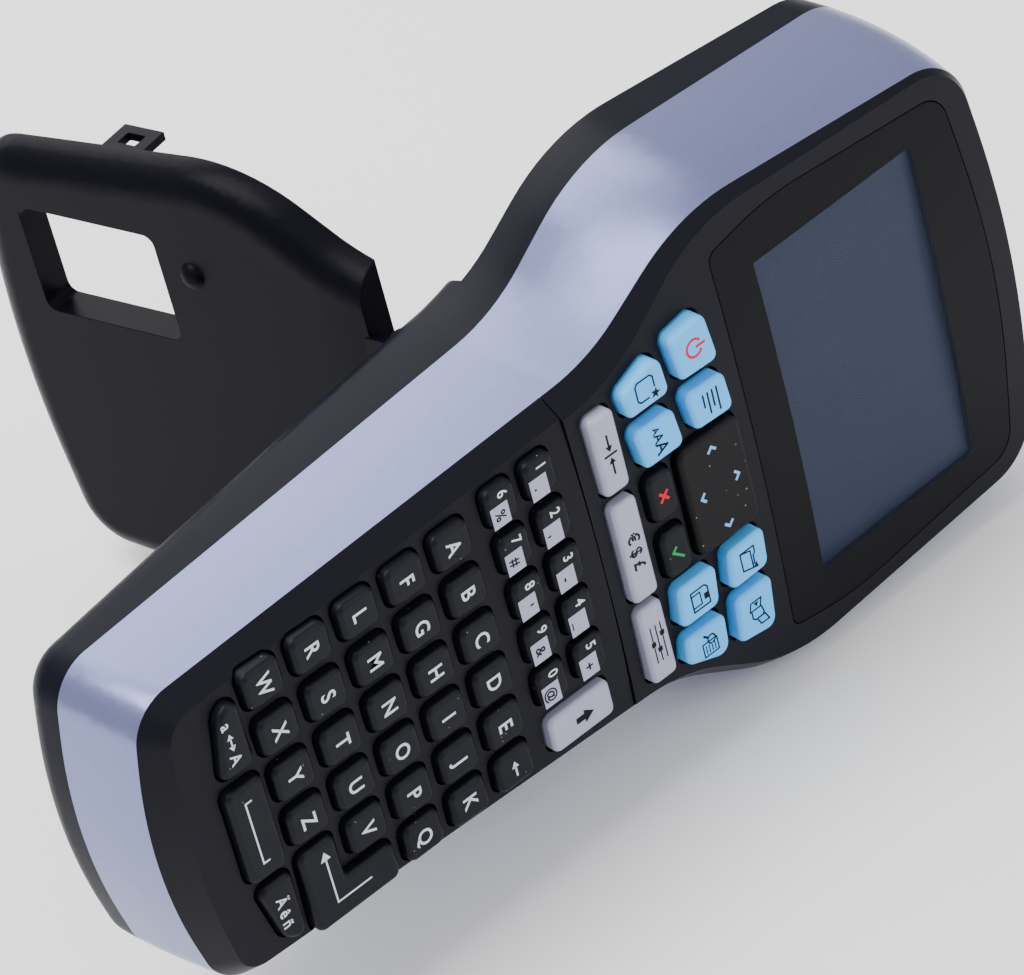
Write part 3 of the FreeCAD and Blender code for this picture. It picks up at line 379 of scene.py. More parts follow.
SLEEVE = Finish("battery_sleeve", "battery", (46, 58, 110), (52, 64, 118), 60.0, 0.3, coat=0.4)
PRINT_WHITE = Finish("print_white", "tape", (206, 208, 218), (196, 198, 208), 700.0, 0.5)
PRINT_BLACK = Finish(
    "print_black", "key_black", (8, 10, 18), (12, 14, 22),
    700.0, 0.5, specular=0.1,
)
PRINT_RED = Finish("print_red", "battery", (206, 10, 34), (196, 8, 30), 700.0, 0.5, specular=0.2)
PRINT_GREEN = Finish("print_green", "board", (14, 150, 84), (12, 140, 80), 700.0, 0.5, specular=0.2)
PRINT_BLUE = Finish("print_blue", "key_blue", (124, 172, 232), (116, 164, 224), 700.0, 0.5)
FLOOR = Finish("studio_floor", "tape", (250, 250, 251), roughness=0.9)


# ---- places and meshes --------------------------------------------------------------------------
@dataclass(frozen=True)
class DeviceFrame:
    """Device coordinates in millimetres: x to the right, y to the display end, z out of the keys."""

    origin: Vector

    SEAM_Y: float = -5.0
    HALF_GAP: float = 0.125
    RIM_Z: float = -7.5

    @classmethod
    def from_packed(cls) -> "DeviceFrame":
        """Finds the device origin from the band and the lower panel."""
        low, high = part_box("side_band")
        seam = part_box("lower_panel")[1].x + (cls.HALF_GAP - cls.SEAM_Y) * MM
        return cls(Vector((seam, low.y + cls.RIM_Z * MM, (low.z + high.z) / 2)))

    def point(self, x: float, y: float, z: float) -> Vector:
        """Row-frame point of device coordinates."""
        return self.origin + Vector((y, -z, -x)) * MM


def print_matrix(centre: Vector) -> Matrix:
    """Placement that turns flat artwork in millimetres to face out of the keys at a point."""
    turn = Matrix(((0, MM, 0, 0), (0, 0, -MM, 0), (-MM, 0, 0, 0), (0, 0, 0, 1)))
    return Matrix.Translation(centre) @ turn


def link(mesh: bpy.types.Mesh, name: str) -> bpy.types.Object:
    """Makes an object for a mesh and links it to the scene."""
    made = bpy.data.objects.new(name, mesh)
    bpy.context.scene.collection.objects.link(made)
    return made


def baked(source: bpy.types.Object) -> bpy.types.Mesh:
    """Plain mesh of an object with its modifiers applied; the object is removed.

    Args:
        source: The object, linked to the scene.

    Returns:
        The evaluated mesh.
    """
    view = bpy.context.evaluated_depsgraph_get()
    mesh = bpy.data.meshes.new_from_object(source.evaluated_get(view))
    bpy.data.objects.remove(source)
    return mesh


def softened(mesh: bpy.types.Mesh, width: float, segments: int) -> bpy.types.Mesh:
    """Merged copy of a mesh with its crisp edges rounded.

    Args:
        mesh: Mesh of loose triangles.
        width: Width of the rounding, in millimetres.
        segments: Facets across each rounding.

    Returns:
        The rounded mesh, smooth shaded, with flat faces kept even.
    """
    sharp = math.radians(SHARP_DEGREES)
    copy = mesh.copy()
    if "custom_normal" in copy.attributes:
        copy.attributes.remove(copy.attributes["custom_normal"])
    work = bmesh.new()
    work.from_mesh(copy)
    bmesh.ops.remove_doubles(work, verts=work.verts, dist=0.003 * MM)
    bmesh.ops.dissolve_limit(work, angle_limit=math.radians(0.4), verts=work.verts, edges=work.edges)
    work.to_mesh(copy)
    work.free()
    holder = link(copy, "softening")
    bevel = holder.modifiers.new("rounding", "BEVEL")
    bevel.width = width * MM
    bevel.segments = segments
    bevel.limit_method = "ANGLE"
    bevel.angle_limit = sharp
    bevel.miter_outer = "MITER_ARC"
    result = baked(holder)
    result.shade_smooth()
    result.set_sharp_from_angle(angle=sharp)
    holder = link(result, "shading")
    even = holder.modifiers.new("even_shading", "WEIGHTED_NORMAL")
    even.weight = 100
    even.keep_sharp = True
    return baked(holder)


def extruded(polygons: list[Polygon], depth: float) -> bpy.types.Mesh:
    """Flat artwork as a thin solid.

    Args:
        polygons: Closed outlines in millimetres, counter-clockwise.
        depth: Thickness of the print, in millimetres.

    Returns:
        The mesh, in millimetres, its top at the print's thickness.
    """
    work = bmesh.new()
    for polygon in polygons:
        work.faces.new([work.verts.new((u, v, 0.0)) for u, v in polygon])
    bmesh.ops.remove_doubles(work, verts=work.verts, dist=0.001)
    grown = bmesh.ops.extrude_face_region(work, geom=list(work.faces))
    lifted = [item for item in grown["geom"] if isinstance(item, bmesh.types.BMVert)]
    bmesh.ops.translate(work, verts=lifted, vec=(0.0, 0.0, depth))
    bmesh.ops.recalc_face_normals(work, faces=work.faces)
    mesh = bpy.data.meshes.new("artwork")
    work.to_mesh(mesh)
    work.free()
    return mesh


def ribbon(points: list[Point], width: float, closed: bool = False) -> list[Polygon]:
    """Line of even width with mitred corners, as one four-sided face for each run.

    Args:
        points: Corners of the line, in millimetres.
        width: Width of the line.
        closed: True if the last point joins the first.

    Returns:
        The faces' outlines.
    """
    count = len(points)
    left: Polygon = []
    right: Polygon = []
    for i in range(count):
        here = Vector(points[i])
        before = Vector(points[i - 1]) if i or closed else None
        after = Vector(points[(i + 1) % count]) if i < count - 1 or closed else None
        into = (here - before).normalized() if before else (after - here).normalized()
        out = (after - here).normalized() if after else into
        along = (into + out).normalized()
        side = Vector((-along.y, along.x))
        half = width / 2 / max(0.35, side.dot(Vector((-into.y, into.x))))
        left.append(tuple(here + side * half))
        right.append(tuple(here - side * half))
    runs = count if closed else count - 1
    faces = []
    for i in range(runs):
        j = (i + 1) % count
        faces.append([right[i], right[j], left[j], left[i]])
    return faces


def arc(centre: Point, radius: float, start: float, end: float, steps: int = 18) -> list[Point]:
    """Points along an arc between two angles in degrees."""
    points = []
    for step in range(steps + 1):
        angle = math.radians(start + (end - start) * step / steps)
        points.append((centre[0] + radius * math.cos(angle), centre[1] + radius * math.sin(angle)))
    return points


def block(x0: float, x1: float, y0: float, y1: float) -> Polygon:
    """Filled rectangle."""
    return [(x0, y0), (x1, y0), (x1, y1), (x0, y1)]


def arrow_head(tip: Point, direction: Point, size: float) -> Polygon:
    """Filled triangle with its tip at a point, counter-clockwise."""
    ahead = Vector(direction).normalized()
    side = Vector((-ahead.y, ahead.x))
    base = Vector(tip) - ahead * size
    spread = side * size * HEAD_SPREAD
    return [tuple(tip), tuple(base + spread), tuple(base - spread)]


def lettering(
    text: str, height: float, weight: float, centre: Point = (0.0, 0.0), narrow: float = 0.92
) -> bpy.types.Mesh:
    """Plain sans lettering as a thin solid, centred on a point.

    Args:
        text: Characters to draw.
        height: Height of a capital, in millimetres.
        weight: Extra thickness of the strokes.
        centre: Middle of the lettering.
        narrow: Width factor.

    Returns:
        The mesh, in millimetres.
    """
    curve = bpy.data.curves.new("lettering", "FONT")
    curve.body = text
    curve.size = height / CAP_SHARE
    curve.offset = weight
    curve.extrude = PRINT_DEPTH / 2
    curve.resolution_u = 4
    mesh = baked(link(curve, "lettering"))
    xs = [vertex.co.x for vertex in mesh.vertices]
    middle_x = (min(xs) + max(xs)) / 2
    shift = Matrix.Translation((centre[0], centre[1] - height / 2, PRINT_DEPTH / 2))
    mesh.transform(shift @ Matrix.Diagonal((narrow, 1, 1, 1)) @ Matrix.Translation((-middle_x, 0, 0)))
    return mesh


@dataclass
class Workshop:
    """What every sub-assembly needs: the imported nodes, the device frame and the shader groups."""

    nodes: dict[str, bpy.types.Object]
    bodies: dict[str, str]
    frame: DeviceFrame
    effects: Effects

    def dress(self, piece: bpy.types.Object, finish: Finish) -> None:
        """Gives a piece one finish on every face."""
        piece.data.materials.clear()
        piece.data.materials.append(finish.material(self.effects))
        for polygon in piece.data.polygons:
            polygon.material_index = 0

    def keep(self, node: str, finish: Finish) -> None:
        """Keeps a CAD node as it is and gives it a finish."""
        piece = self.nodes[node]
        for entry in piece.material_slots:
            entry.material = finish.material(self.effects)
        LOG.info("%s keeps its CAD shape", node)

    def soften(self, node: str, finish: Finish, width: float, segments: int = 3) -> bpy.types.Object:
        """Replaces a CAD node with a copy whose edges are rounded.

        Args:
            node: Name of the CAD node.
            finish: Finish of the new piece.
            width: Width of the rounding, in millimetres.
            segments: Facets across each rounding.

        Returns:
            The new piece.
        """
        piece = link(softened(self.nodes[node].data, width, segments), node + "_skin")
        self.dress(piece, finish)
        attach(piece, self.bodies[node])
        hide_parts(node)
        LOG.info("%s rounded for %s", piece.name, node)
        return piece

    def stick(
        self, name: str, meshes: list[bpy.types.Mesh], centre: Vector, body: str, finish: Finish
    ) -> None:
        """Joins flat artwork into one printed piece on a surface that faces out of the keys.

        Args:
            name: Name of the piece.
            meshes: Artwork in millimetres.
            centre: Row-frame point on the surface.
            body: Body that carries the print.
            finish: Ink.
        """
        work = bmesh.new()
        for mesh in meshes:
            work.from_mesh(mesh)
        mesh = bpy.data.meshes.new(name)
        work.to_mesh(mesh)
        work.free()
        mesh.transform(print_matrix(centre - Vector((0, PRINT_LIFT * MM, 0))))
        piece = link(mesh, name)
        self.dress(piece, finish)
        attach(piece, body)
        LOG.info("%s printed", name)

    def crown(self, node: str) -> Vector:
        """Middle of a key's top face."""
        low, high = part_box(node)
        return Vector(((low.x + high.x) / 2, low.y, (low.z + high.z) / 2))


# ---- casing ---------------------------------------------------------------------------------------
@dataclass
class Casing:
    """Band, shells, panels and the rear cover."""

    shop: Workshop
    rim_rounding: float = 0.35
    seam_rounding: float = 0.25
    shell_rounding: float = 0.3

    def build(self) -> None:
        """Rounds and paints the outer pieces."""
        self.shop.soften("side_band", BAND, self.seam_rounding)
        self.shop.soften("rear_shell", SHELL, self.shell_rounding, 2)
        self.shop.soften("upper_panel", PANEL, self.rim_rounding)
        self.shop.soften("lower_panel", PANEL, self.rim_rounding)
        self.shop.soften("battery_cover", SHELL, self.shell_rounding, 2)
        self.shop.soften("cassette_door", DOOR, self.shell_rounding)
        self.shop.soften("cutter_button", KEY_BLACK, self.rim_rounding)
        for node in ("case_screws", "door_hinge_pin", "usb_port"):
            self.shop.keep(node, STEEL)
        self.shop.keep("power_jack", SHELL)


@dataclass
class Display:
    """Lens with its black printed border, and the display glass under it."""

    shop: Workshop
    window_width: float = 69.4
    window_height: float = 41.0
    window_y: float = 64.4
    border: tuple[int, int, int] = (8, 8, 13)
    tint: tuple[int, int, int] = (56, 63, 84)
    window_alpha: float = 0.22

    def build(self) -> None:
        """Dresses the glass and the lens."""
        self.shop.keep("lcd_module", LCD)
        piece = self.shop.soften("display_lens", PANEL, 0.2, 2)
        piece.data.materials.clear()
        piece.data.materials.append(self._lens_material())

    def _lens_material(self) -> bpy.types.Material:
        """Clear plate with an opaque border: a box mask on object coordinates drives the alpha."""
        made = bpy.data.materials.new("lens_print")
        made.use_nodes = True
        tree = made.node_tree
        shader = tree.nodes["Principled BSDF"]
        shader.inputs["Roughness"].default_value = 0.22
        shader.inputs["Specular IOR Level"].default_value = 0.08
        place = tree.nodes.new("ShaderNodeTexCoord")
        split = tree.nodes.new("ShaderNodeSeparateXYZ")
        tree.links.new(place.outputs["Object"], split.inputs["Vector"])
        middle = self.shop.frame.point(0.0, self.window_y, 0.0)
        inside = self._within(tree, split.outputs["X"], middle.x, self.window_height / 2 * MM)
        across = self._within(tree, split.outputs["Z"], middle.z, self.window_width / 2 * MM)
        both = tree.nodes.new("ShaderNodeMath")
        both.operation = "MULTIPLY"
        tree.links.new(inside, both.inputs[0])
        tree.links.new(across, both.inputs[1])
        alpha = tree.nodes.new("ShaderNodeMapRange")
        alpha.inputs["To Min"].default_value = 1.0
        alpha.inputs["To Max"].default_value = self.window_alpha
        tree.links.new(both.outputs[0], alpha.inputs["Value"])
        tree.links.new(alpha.outputs["Result"], shader.inputs["Alpha"])
        mix = tree.nodes.new("ShaderNodeMix")
        mix.data_type = "RGBA"
        mix.inputs[6].default_value = rgba(self.border)
        mix.inputs[7].default_value = rgba(self.tint)
        tree.links.new(both.outputs[0], mix.inputs["Factor"])
        tree.links.new(mix.outputs[2], shader.inputs["Base Color"])
        return made

    @staticmethod
    def _within(
        tree: bpy.types.NodeTree, value: bpy.types.NodeSocket, centre: float, half: float
    ) -> bpy.types.NodeSocket:
        """Mask that is one where a value lies within half a width of a centre.

        Args:
            tree: Tree that takes the nodes.
            value: Coordinate to test.
            centre: Middle of the span.
            half: Half of the span.

        Returns:
            The mask's socket.
        """
        compare = tree.nodes.new("ShaderNodeMath")
        compare.operation = "COMPARE"
        compare.inputs[1].default_value = centre
        compare.inputs[2].default_value = half
        tree.links.new(value, compare.inputs[0])
        return compare.outputs[0]


# ---- keyboard -------------------------------------------------------------------------------------
@dataclass
class LetterPad:
    """Twenty-six letter keys made by instancing one cap, and their letters."""

    shop: Workshop
    rows: tuple[str, ...] = ("ABCDE", "FGHIJK", "LMNOPQ", "RSTUV", "WXYZ")
    columns: int = 6
    column_space: float = 2.2
    row_space: float = 2.5
    letter_height: float = 3.1
    rounding: float = 0.34
    half: tuple[float, float] = (0.0, 0.0)

    def build(self) -> None:
        """Makes the caps and the letters."""
        cells = self._cells()
        cap = self._one_cap(cells[0])
        self._caps(cap, [centre for _, centre in cells])
        ink = []
        base = cells[0][1]
        for letter, centre in cells:
            mesh = lettering(letter, self.letter_height, 0.06)
            offset = centre - base
            mesh.transform(Matrix.Translation((-offset.z / MM, offset.x / MM, -offset.y / MM)))
            ink.append(mesh)
        self.shop.stick("letter_print", ink, base, "letters", PRINT_WHITE)

    def _cells(self) -> list[tuple[str, Vector]]:
        """Each letter with the middle of its key's top, measured on the CAD node."""
        low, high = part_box("letter_keys")
        pitch_z = (high.z - low.z + self.column_space * MM) / self.columns
        pitch_x = (high.x - low.x + self.row_space * MM) / len(self.rows)
        half_z = (pitch_z - self.column_space * MM) / 2
        half_x = (pitch_x - self.row_space * MM) / 2
        corners = [vertex.co for vertex in self.shop.nodes["letter_keys"].data.vertices]
        cells = []
        for row, letters in enumerate(self.rows):
            x = high.x - half_x - row * pitch_x
            for column, letter in enumerate(letters):
                z = high.z - half_z - column * pitch_z
                near = [
                    corner.y
                    for corner in corners
                    if abs(corner.x - x) < half_x * CAP_REACH and abs(corner.z - z) < half_z * CAP_REACH
                ]
                cells.append((letter, Vector((x, min(near), z))))
        self.half = (half_x, half_z)
        return cells

    def _one_cap(self, cell: tuple[str, Vector]) -> bpy.types.Mesh:
        """Rounded copy of the first cap, moved so that the middle of its top is at the origin."""
        centre = cell[1]
        copy = self.shop.nodes["letter_keys"].data.copy()
        work = bmesh.new()
        work.from_mesh(copy)
        reach_x, reach_z = self.half[0] * CAP_REACH, self.half[1] * CAP_REACH
        others = [
            vertex
            for vertex in work.verts
            if abs(vertex.co.x - centre.x) > reach_x or abs(vertex.co.z - centre.z) > reach_z
        ]
        bmesh.ops.delete(work, geom=others, context="VERTS")
        bmesh.ops.translate(work, verts=work.verts, vec=-centre)
        work.to_mesh(copy)
        work.free()
        return softened(copy, self.rounding, 4)

    def _caps(self, cap: bpy.types.Mesh, centres: list[Vector]) -> None:
        """Places the cap at every key with a node tree and bakes the result.

        Args:
            cap: The single cap.
            centres: Middle of each key's top.
        """
        model = link(cap, "single_cap")
        points = bpy.data.meshes.new("cap_places")
        points.from_pydata([tuple(centre) for centre in centres], [], [])
        piece = link(points, "letter_caps")
        tree = self._tree()
        modifier = piece.modifiers.new("caps", "NODES")
        modifier.node_group = tree
        sockets = {item.name: item.identifier for item in tree.interface.items_tree if item.in_out == "INPUT"}
        modifier[sockets["Cap"]] = model
        modifier[sockets["Cap Scale"]] = 1.0
        modifier[sockets["Finish"]] = KEY_BLACK.material(self.shop.effects)
        mesh = baked(piece)
        bpy.data.objects.remove(model)
        finished = link(mesh, "letter_keys_caps")
        mesh.set_sharp_from_angle(angle=math.radians(SHARP_DEGREES))
        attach(finished, "letters")
        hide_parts("letter_keys")
        LOG.info("letter caps placed")

    @staticmethod
    def _tree() -> bpy.types.NodeTree:
        """Node tree that puts one cap on every point and gives them their finish."""
        tree = bpy.data.node_groups.new("caps_on_points", "GeometryNodeTree")
        tree.interface.new_socket("Geometry", in_out="INPUT", socket_type="NodeSocketGeometry")
        tree.interface.new_socket("Cap", in_out="INPUT", socket_type="NodeSocketObject")
        tree.interface.new_socket("Cap Scale", in_out="INPUT", socket_type="NodeSocketFloat")
        tree.interface.new_socket("Finish", in_out="INPUT", socket_type="NodeSocketMaterial")
        tree.interface.new_socket("Geometry", in_out="OUTPUT", socket_type="NodeSocketGeometry")
        start = tree.nodes.new("NodeGroupInput")
        end = tree.nodes.new("NodeGroupOutput")
        source = tree.nodes.new("GeometryNodeObjectInfo")
        place = tree.nodes.new("GeometryNodeInstanceOnPoints")
        real = tree.nodes.new("GeometryNodeRealizeInstances")
        paint = tree.nodes.new("GeometryNodeSetMaterial")
        tree.links.new(start.outputs["Cap"], source.inputs["Object"])
        tree.links.new(start.outputs["Geometry"], place.inputs["Points"])
        tree.links.new(source.outputs["Geometry"], place.inputs["Instance"])
        tree.links.new(start.outputs["Cap Scale"], place.inputs["Scale"])
        tree.links.new(place.outputs["Instances"], real.inputs["Geometry"])
        tree.links.new(real.outputs["Geometry"], paint.inputs["Geometry"])
        tree.links.new(start.outputs["Finish"], paint.inputs["Material"])
        tree.links.new(paint.outputs["Geometry"], end.inputs["Geometry"])
        return tree


@dataclass
class DigitKeys:
    """Ten number keys, each with a digit on the left and a symbol on a bright tab on the right."""

    shop: Workshop
    symbols: dict[int, str] = field(
        default_factory=lambda: {
            1: ".", 2: ",", 3: "-", 4: "_", 5: "+", 6: "%", 7: "#", 8: "'", 9: "&", 0: "@",
        }
    )
    digit_height: float = 2.2
    digit_x: float = -2.2
    tab: tuple[float, float, float, float] = (-0.5, 3.9, -3.0, 1.0)
    rounding: float = 0.34

    def build(self) -> None:
        """Makes every number key."""
        x0, x1, y0, y1 = self.tab
        for digit, symbol in self.symbols.items():
            node = f"digit_key_{digit}"
            self.shop.soften(node, KEY_BLACK, self.rounding, 4)
            centre = self.shop.crown(node)
            ink = [lettering(str(digit), self.digit_height, 0.04, (self.digit_x, 0.4))]
            self.shop.stick(node + "_digit", ink, centre, node, PRINT_WHITE)
            plate = extruded([block(x0, x1, y0, y1)], PRINT_DEPTH)
            self.shop.stick(node + "_tab", [plate], centre, node, KEY_SILVER)
            mark = lettering(symbol, self.digit_height, 0.05, ((x0 + x1) / 2, (y0 + y1) / 2))
            above = centre - Vector((0, SYMBOL_LIFT * MM, 0))
            self.shop.stick(node + "_symbol", [mark], above, node, PRINT_BLACK)


@dataclass
class FunctionKeys:
    """Function keys, the cursor pad and their symbols."""

    shop: Workshop
    line: float = 0.34
    blue_rounding: float = 0.45
    rounding: float = 0.34

    def build(self) -> None:
        """Makes every key and its artwork."""
        for node in self._blue():
            self.shop.soften(node, KEY_BLUE, self.blue_rounding, 4)
        for node in ("insert_key", "currency_key", "settings_key", "shift_key"):
            self.shop.soften(node, KEY_SILVER, self.rounding, 4)
        for node in self._black():
            self.shop.soften(node, PAD_BLACK if node == "cursor_pad" else KEY_BLACK, self.rounding, 4)
        for node, (meshes, finish) in self._artwork().items():
            self.shop.stick(node + "_print", meshes, self.shop.crown(node), node, finish)

    @staticmethod
    def _blue() -> tuple[str, ...]:
        """Names of the blue keys."""
        return (
            "power_key", "layout_key", "border_key", "text_size_key",
            "print_key", "preview_key", "memory_key", "save_key",
        )

    @staticmethod
    def _black() -> tuple[str, ...]:
        """Names of the black function keys."""
        return (
            "cursor_pad", "cancel_key", "accept_key", "backspace_key",
            "return_key", "space_key", "caps_key", "accent_key",
        )

    def _artwork(self) -> dict[str, tuple[list[bpy.types.Mesh], Finish]]:
        """Meshes and ink of every key's symbol."""
        flat = {
            "power_key": (self._power(), PRINT_RED),
            "layout_key": (self._lines_of_text(), PRINT_BLACK),
            "border_key": (self._framed_star(), PRINT_BLACK),
            "print_key": (self._label_and_arrow(), PRINT_BLACK),
            "preview_key": (self._lens_on_page(), PRINT_BLACK),
            "memory_key": (self._folder(), PRINT_BLACK),
            "save_key": (self._disc(), PRINT_BLACK),
            "insert_key": (self._insert(), PRINT_BLACK),
            "settings_key": (self._sliders(), PRINT_BLACK),
            "shift_key": (self._shift(), PRINT_BLACK),
            "cursor_pad": (self._chevrons(), PRINT_BLUE),
            "cancel_key": (self._cross(), PRINT_RED),
            "accept_key": (self._tick(), PRINT_GREEN),
            "backspace_key": (self._backspace(), PRINT_WHITE),
            "return_key": (self._return(), PRINT_WHITE),
            "space_key": (self._space(), PRINT_WHITE),
        }
        art = {node: ([extruded(faces, PRINT_DEPTH)], ink) for node, (faces, ink) in flat.items()}
        sizes = ((-2.4, 1.5), (-0.7, 2.1), (1.5, 2.8))
        growing = [lettering("A", height, 0.03, (x, height / 2 - 1.4)) for x, height in sizes]
        art["text_size_key"] = (growing, PRINT_BLACK)
        art["currency_key"] = ([lettering("€ $ £", 2.6, 0.06)], PRINT_BLACK)
        swap = extruded(self._double_arrow(), PRINT_DEPTH)
        art["caps_key"] = (
            [lettering("a", 2.3, 0.04, (-3.6, 0.0)), swap, lettering("A", 2.3, 0.04, (3.4, 0.0))],
            PRINT_WHITE,
        )
        art["accent_key"] = ([lettering("Ä ê ñ", 2.3, 0.04)], PRINT_WHITE)
        return art

    def _power(self) -> list[Polygon]:
        """Open ring with an upright bar."""
        ring = ribbon(arc((0, 0), 1.75, 120, 420, 28), 0.5)
        return ring + [block(-0.25, 0.25, 0.4, 2.6)]

    def _lines_of_text(self) -> list[Polygon]:
        """Ragged lines of text."""
        lengths = (5.0, 3.6, 4.6, 2.8)
        return [block(-2.5, -2.5 + length, 1.6 - 1.1 * i, 1.95 - 1.1 * i) for i, length in enumerate(lengths)]

    def _framed_star(self) -> list[Polygon]:
        """Rounded frame with a star on its corner."""
        outline = [(0.6, 2.0), (-1.6, 2.0), (-2.2, 1.4), (-2.2, -1.6)]
        outline += [(-1.6, -2.2), (1.4, -2.2), (2.0, -1.6), (2.0, 0.4)]
        frame = ribbon(outline, 0.3)
        star = []
        for i in range(10):
            radius = 1.15 if i % 2 == 0 else 0.48
            angle = math.pi / 2 + i * math.pi / 5
            star.append((1.9 + radius * math.cos(angle), 1.9 + radius * math.sin(angle)))
        centre = (1.9, 1.9)
        spikes = [[centre, star[i - 1], star[i]] for i in range(10)]
        return frame + spikes

    def _label_and_arrow(self) -> list[Polygon]:
        """Two sheets joined by a roller, with an arrow."""
        sheet = ribbon([(-2.6, -1.2), (-0.9, -1.8), (-0.9, 0.8), (-2.6, 1.4)], 0.28, True)
        roll = ribbon([(-0.9, -1.4), (0.7, -1.4), (1.2, -0.9), (1.2, 0.9), (0.7, 1.4), (-0.9, 1.0)], 0.28)
        out = ribbon([(1.2, -0.5), (2.8, 0.2), (2.8, 2.2), (1.2, 1.5)], 0.28, True)
        return sheet + roll + out + [arrow_head((-1.35, 0.0), (1.0, 0.0), 0.9)]

    def _lens_on_page(self) -> list[Polygon]:
        """Page of lines under a magnifier."""
        page = ribbon([(-1.0, -1.5), (1.8, -1.5), (1.8, 2.0), (-1.0, 2.0)], 0.26, True)
        lines = [block(-0.4, 1.4, -0.9 + 0.7 * i, -0.7 + 0.7 * i) for i in range(4)]
        glass = ribbon(arc((-1.2, 0.8), 0.9, 0, 340, 20), 0.3)
        handle = ribbon([(-1.8, 0.1), (-2.7, -0.9)], 0.45)
        return page + lines + glass + handle

    def _folder(self) -> list[Polygon]:
        """Open folder with an arrow."""
        box = ribbon([(-2.2, -1.8), (1.6, -1.8), (2.2, 0.6), (-1.6, 0.6)], 0.28, True)
        back = ribbon([(-2.2, -1.8), (-2.2, 1.6), (-0.8, 1.6), (-0.3, 1.1), (1.4, 1.1), (1.4, 0.6)], 0.28)
        return box + back + [arrow_head((2.6, 1.8), (0.7, 0.7), 1.1)]

    def _disc(self) -> list[Polygon]:
        """Storage disc with its shutter and label."""
        body = ribbon([(-2.1, -2.0), (2.1, -2.0), (2.1, 2.0), (-1.5, 2.0), (-2.1, 1.4)], 0.3, True)
        label = ribbon([(-1.3, -2.0), (-1.3, 0.1), (1.3, 0.1), (1.3, -2.0)], 0.26)
        return body + label + [block(-0.4, 0.9, 0.9, 1.9)]

    def _insert(self) -> list[Polygon]:
        """Two arrows meeting at a bar."""
        faces = [block(-0.2, 0.2, -1.5, 1.5)]
        for side in (-1, 1):
            run = sorted((side * 1.6, side * 4.2))
            faces.append(block(run[0], run[1], -0.2, 0.2))
            faces.append(arrow_head((side * 0.6, 0.0), (-side, 0.0), 1.2))
        return faces

    def _sliders(self) -> list[Polygon]:
        """Three sliders, one above the other."""
        faces = []
        for y, x in ((1.2, -1.6), (0.0, 1.4), (-1.2, -0.2)):
            faces.append(block(-4.0, x - 0.5, y - 0.12, y + 0.12))
            faces.append(block(x + 0.5, 4.0, y - 0.12, y + 0.12))
            faces.append(block(x - 0.5, x + 0.5, y - 0.5, y + 0.5))
        return faces

    def _shift(self) -> list[Polygon]:
        """Solid arrow that points up."""
        return [arrow_head((0.0, 2.6), (0.0, 1.0), 2.2), block(-0.6, 0.6, -1.6, 0.4)]

    def _chevrons(self) -> list[Polygon]:
        """Four chevrons that point out from the middle of the pad."""
        faces = []
        for angle, reach in ((0, 8.4), (90, 4.2), (180, 8.4), (270, 4.2)):
            turn = Matrix.Rotation(math.radians(angle), 2)
            points = [turn @ Vector((reach + x, y)) for x, y in ((-0.5, -1.0), (0.45, 0.0), (-0.5, 1.0))]
            faces += ribbon([tuple(point) for point in points], 0.55)
        return faces

    def _cross(self) -> list[Polygon]:
        """Diagonal cross."""
        gap = 0.215
        upper = ribbon([(-1.0, 1.0), (-gap, gap)], 0.6)
        lower = ribbon([(gap, -gap), (1.0, -1.0)], 0.6)
        return ribbon([(-1.0, -1.0), (1.0, 1.0)], 0.6) + upper + lower

    def _tick(self) -> list[Polygon]:
        """Tick."""
        return ribbon([(-1.3, -0.1), (-0.4, -1.1), (1.6, 1.2)], 0.5)

    def _backspace(self) -> list[Polygon]:
        """Short arrow to the left."""
        return [block(-0.4, 1.7, -0.2, 0.2), arrow_head((-1.5, 0.0), (-1.0, 0.0), 1.3)]

    def _return(self) -> list[Polygon]:
        """Bent arrow that follows the L-shaped key."""
        line = ribbon([(4.7, 3.4), (4.7, -4.4), (-5.0, -4.4)], self.line)
        return line + [arrow_head((-6.6, -4.4), (-1.0, 0.0), 1.8)]

    def _space(self) -> list[Polygon]:
        """Wide bracket."""
        return ribbon([(-6.6, 0.6), (-6.6, -0.8), (6.6, -0.8), (6.6, 0.6)], self.line)

    def _double_arrow(self) -> list[Polygon]:
        """Arrow with a head at each end."""
        heads = [arrow_head((-1.9, 0.0), (-1.0, 0.0), 1.1), arrow_head((1.7, 0.0), (1.0, 0.0), 1.1)]
        return heads + [block(-1.0, 0.8, -0.16, 0.16)]


# ---- inside ---------------------------------------------------------------------------------------
@dataclass
class Inside:
    """Pieces behind the casing, kept in their CAD shape."""

    shop: Workshop

    def build(self) -> None:
        """Gives each inner piece its finish."""
        finishes = {
            BOARD: ("main_board",),
            RUBBER: ("keypad_mat", "platen_roller"),
            BAY: ("cassette_bay",),
            STEEL: ("print_head", "drive_motor", "cutter_blade"),
            NYLON: ("platen_gear", "idler_gear", "motor_gear", "ribbon_spindle"),
            TAPE: ("tape_reel",),
            SLEEVE: ("battery_pack",),
        }
        for finish, names in finishes.items():
            for node in names:
                self.shop.keep(node, finish)
        self.shop.soften("tape_cassette", CASSETTE, 0.3, 2)


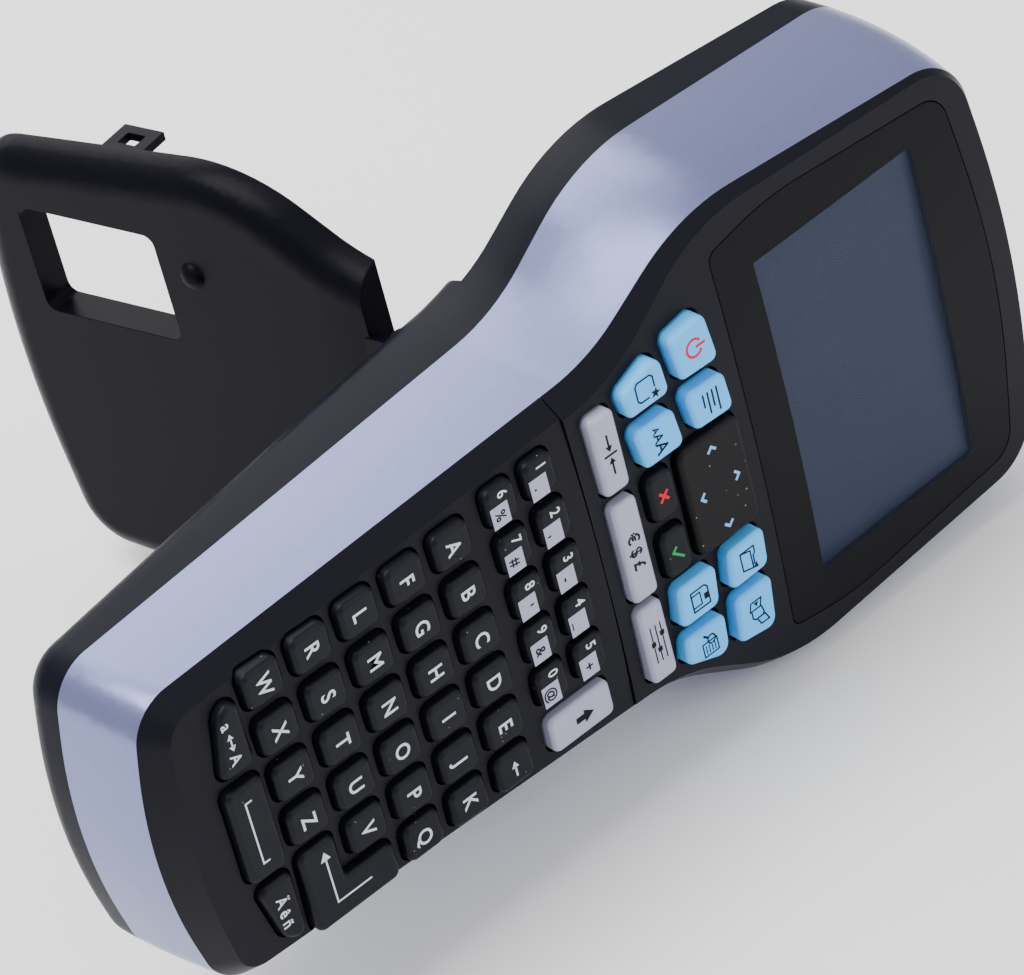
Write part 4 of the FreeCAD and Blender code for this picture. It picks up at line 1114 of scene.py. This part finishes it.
# ---- studio ---------------------------------------------------------------------------------------
@dataclass
class Studio:
    """Camera, soft lights and the pale floor."""

    azimuth: float = -33.22
    elevation: float = 35.2
    roll: float = -15.15
    distance: float = 0.955
    sensor: float = 36.0
    lens: float = 193.4
    aim: tuple[float, float, float] = (-22.8, -15.7, -7.2)
    frame: DeviceFrame | None = None
    floor_size: float = 6.0
    sky: float = 0.75

    def build(self) -> None:
        """Makes the camera, the lights, the surroundings and the floor."""
        self._camera()
        self._lights()
        self._world()
        self._floor()

    def _camera(self) -> None:
        """Long lens at the recorded azimuth, elevation and roll."""
        data = bpy.data.cameras.new("camera")
        data.sensor_width = self.sensor
        data.lens = self.lens
        camera = bpy.data.objects.new("camera", data)
        bpy.context.scene.collection.objects.link(camera)
        bpy.context.scene.camera = camera
        a, e = math.radians(self.azimuth), math.radians(self.elevation)
        back = Vector((math.sin(a) * math.cos(e), -math.cos(a) * math.cos(e), math.sin(e)))
        target = self.frame.point(*self.aim)
        camera.location = target + back * self.distance
        turn = (-back).to_track_quat("-Z", "Y").to_matrix() @ Matrix.Rotation(math.radians(self.roll), 3, "Z")
        camera.rotation_euler = turn.to_euler()

    def _area(self, name: str, place: Vector, target: Vector, size: float, power: float) -> None:
        """Square soft light that faces a target.

        Args:
            name: Name of the light.
            place: Where it stands.
            target: What it faces.
            size: Side of the light, in metres.
            power: Its power, in watts.
        """
        data = bpy.data.lights.new(name, "AREA")
        data.size = size
        data.energy = power
        lamp = bpy.data.objects.new(name, data)
        bpy.context.scene.collection.objects.link(lamp)
        lamp.location = place
        lamp.rotation_euler = (target - place).to_track_quat("-Z", "Y").to_euler()

    def _lights(self) -> None:
        """Large key light above, a fill by the camera and a light behind."""
        low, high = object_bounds()
        middle = (low + high) / 2
        lamps = {
            "key": ((-0.35, 0.15, 1.0), 0.7, 16.0),
            "fill": ((0.5, -1.1, 0.6), 1.0, 9.0),
            "rear": ((0.2, 0.9, 0.7), 0.8, 7.0),
        }
        for name, (offset, size, power) in lamps.items():
            self._area(name, middle + Vector(offset), middle, size, power)

    def _world(self) -> None:
        """Even white surroundings."""
        world = bpy.context.scene.world or bpy.data.worlds.new("surroundings")
        bpy.context.scene.world = world
        world.use_nodes = True
        background = world.node_tree.nodes["Background"]
        background.inputs["Color"].default_value = (1.0, 1.0, 1.0, 1.0)
        background.inputs["Strength"].default_value = self.sky

    def _floor(self) -> None:
        """Wide pale floor under the object."""
        low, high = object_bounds()
        half = self.floor_size / 2
        middle = (low + high) / 2
        mesh = bpy.data.meshes.new("floor")
        corners = [(-half, -half), (half, -half), (half, half), (-half, half)]
        mesh.from_pydata([(middle.x + x, middle.y + y, low.z) for x, y in corners], [], [(0, 1, 2, 3)])
        floor = link(mesh, "floor")
        material = bpy.data.materials.new(FLOOR.name)
        material.use_nodes = True
        shader = material.node_tree.nodes["Principled BSDF"]
        shader.inputs["Base Color"].default_value = rgba(FLOOR.colour)
        shader.inputs["Roughness"].default_value = FLOOR.roughness
        mesh.materials.append(material)
        floor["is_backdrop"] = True


def main() -> None:
    """Loads the frame, builds every sub-assembly and sets the studio."""
    logging.basicConfig(level=logging.INFO, format="%(name)s: %(message)s")
    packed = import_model()
    owners = {node: body for body, nodes in packed["record"]["behaviour"]["bodies"].items() for node in nodes}
    frame = DeviceFrame.from_packed()
    shop = Workshop(packed["nodes"], owners, frame, Effects())
    for kind in (Casing, Display, LetterPad, DigitKeys, FunctionKeys, Inside):
        assembly = kind(shop)
        assembly.build()
        LOG.info("%s done", type(assembly).__name__)
    Studio(frame=frame).build()


if __name__ == "__main__":
    main()
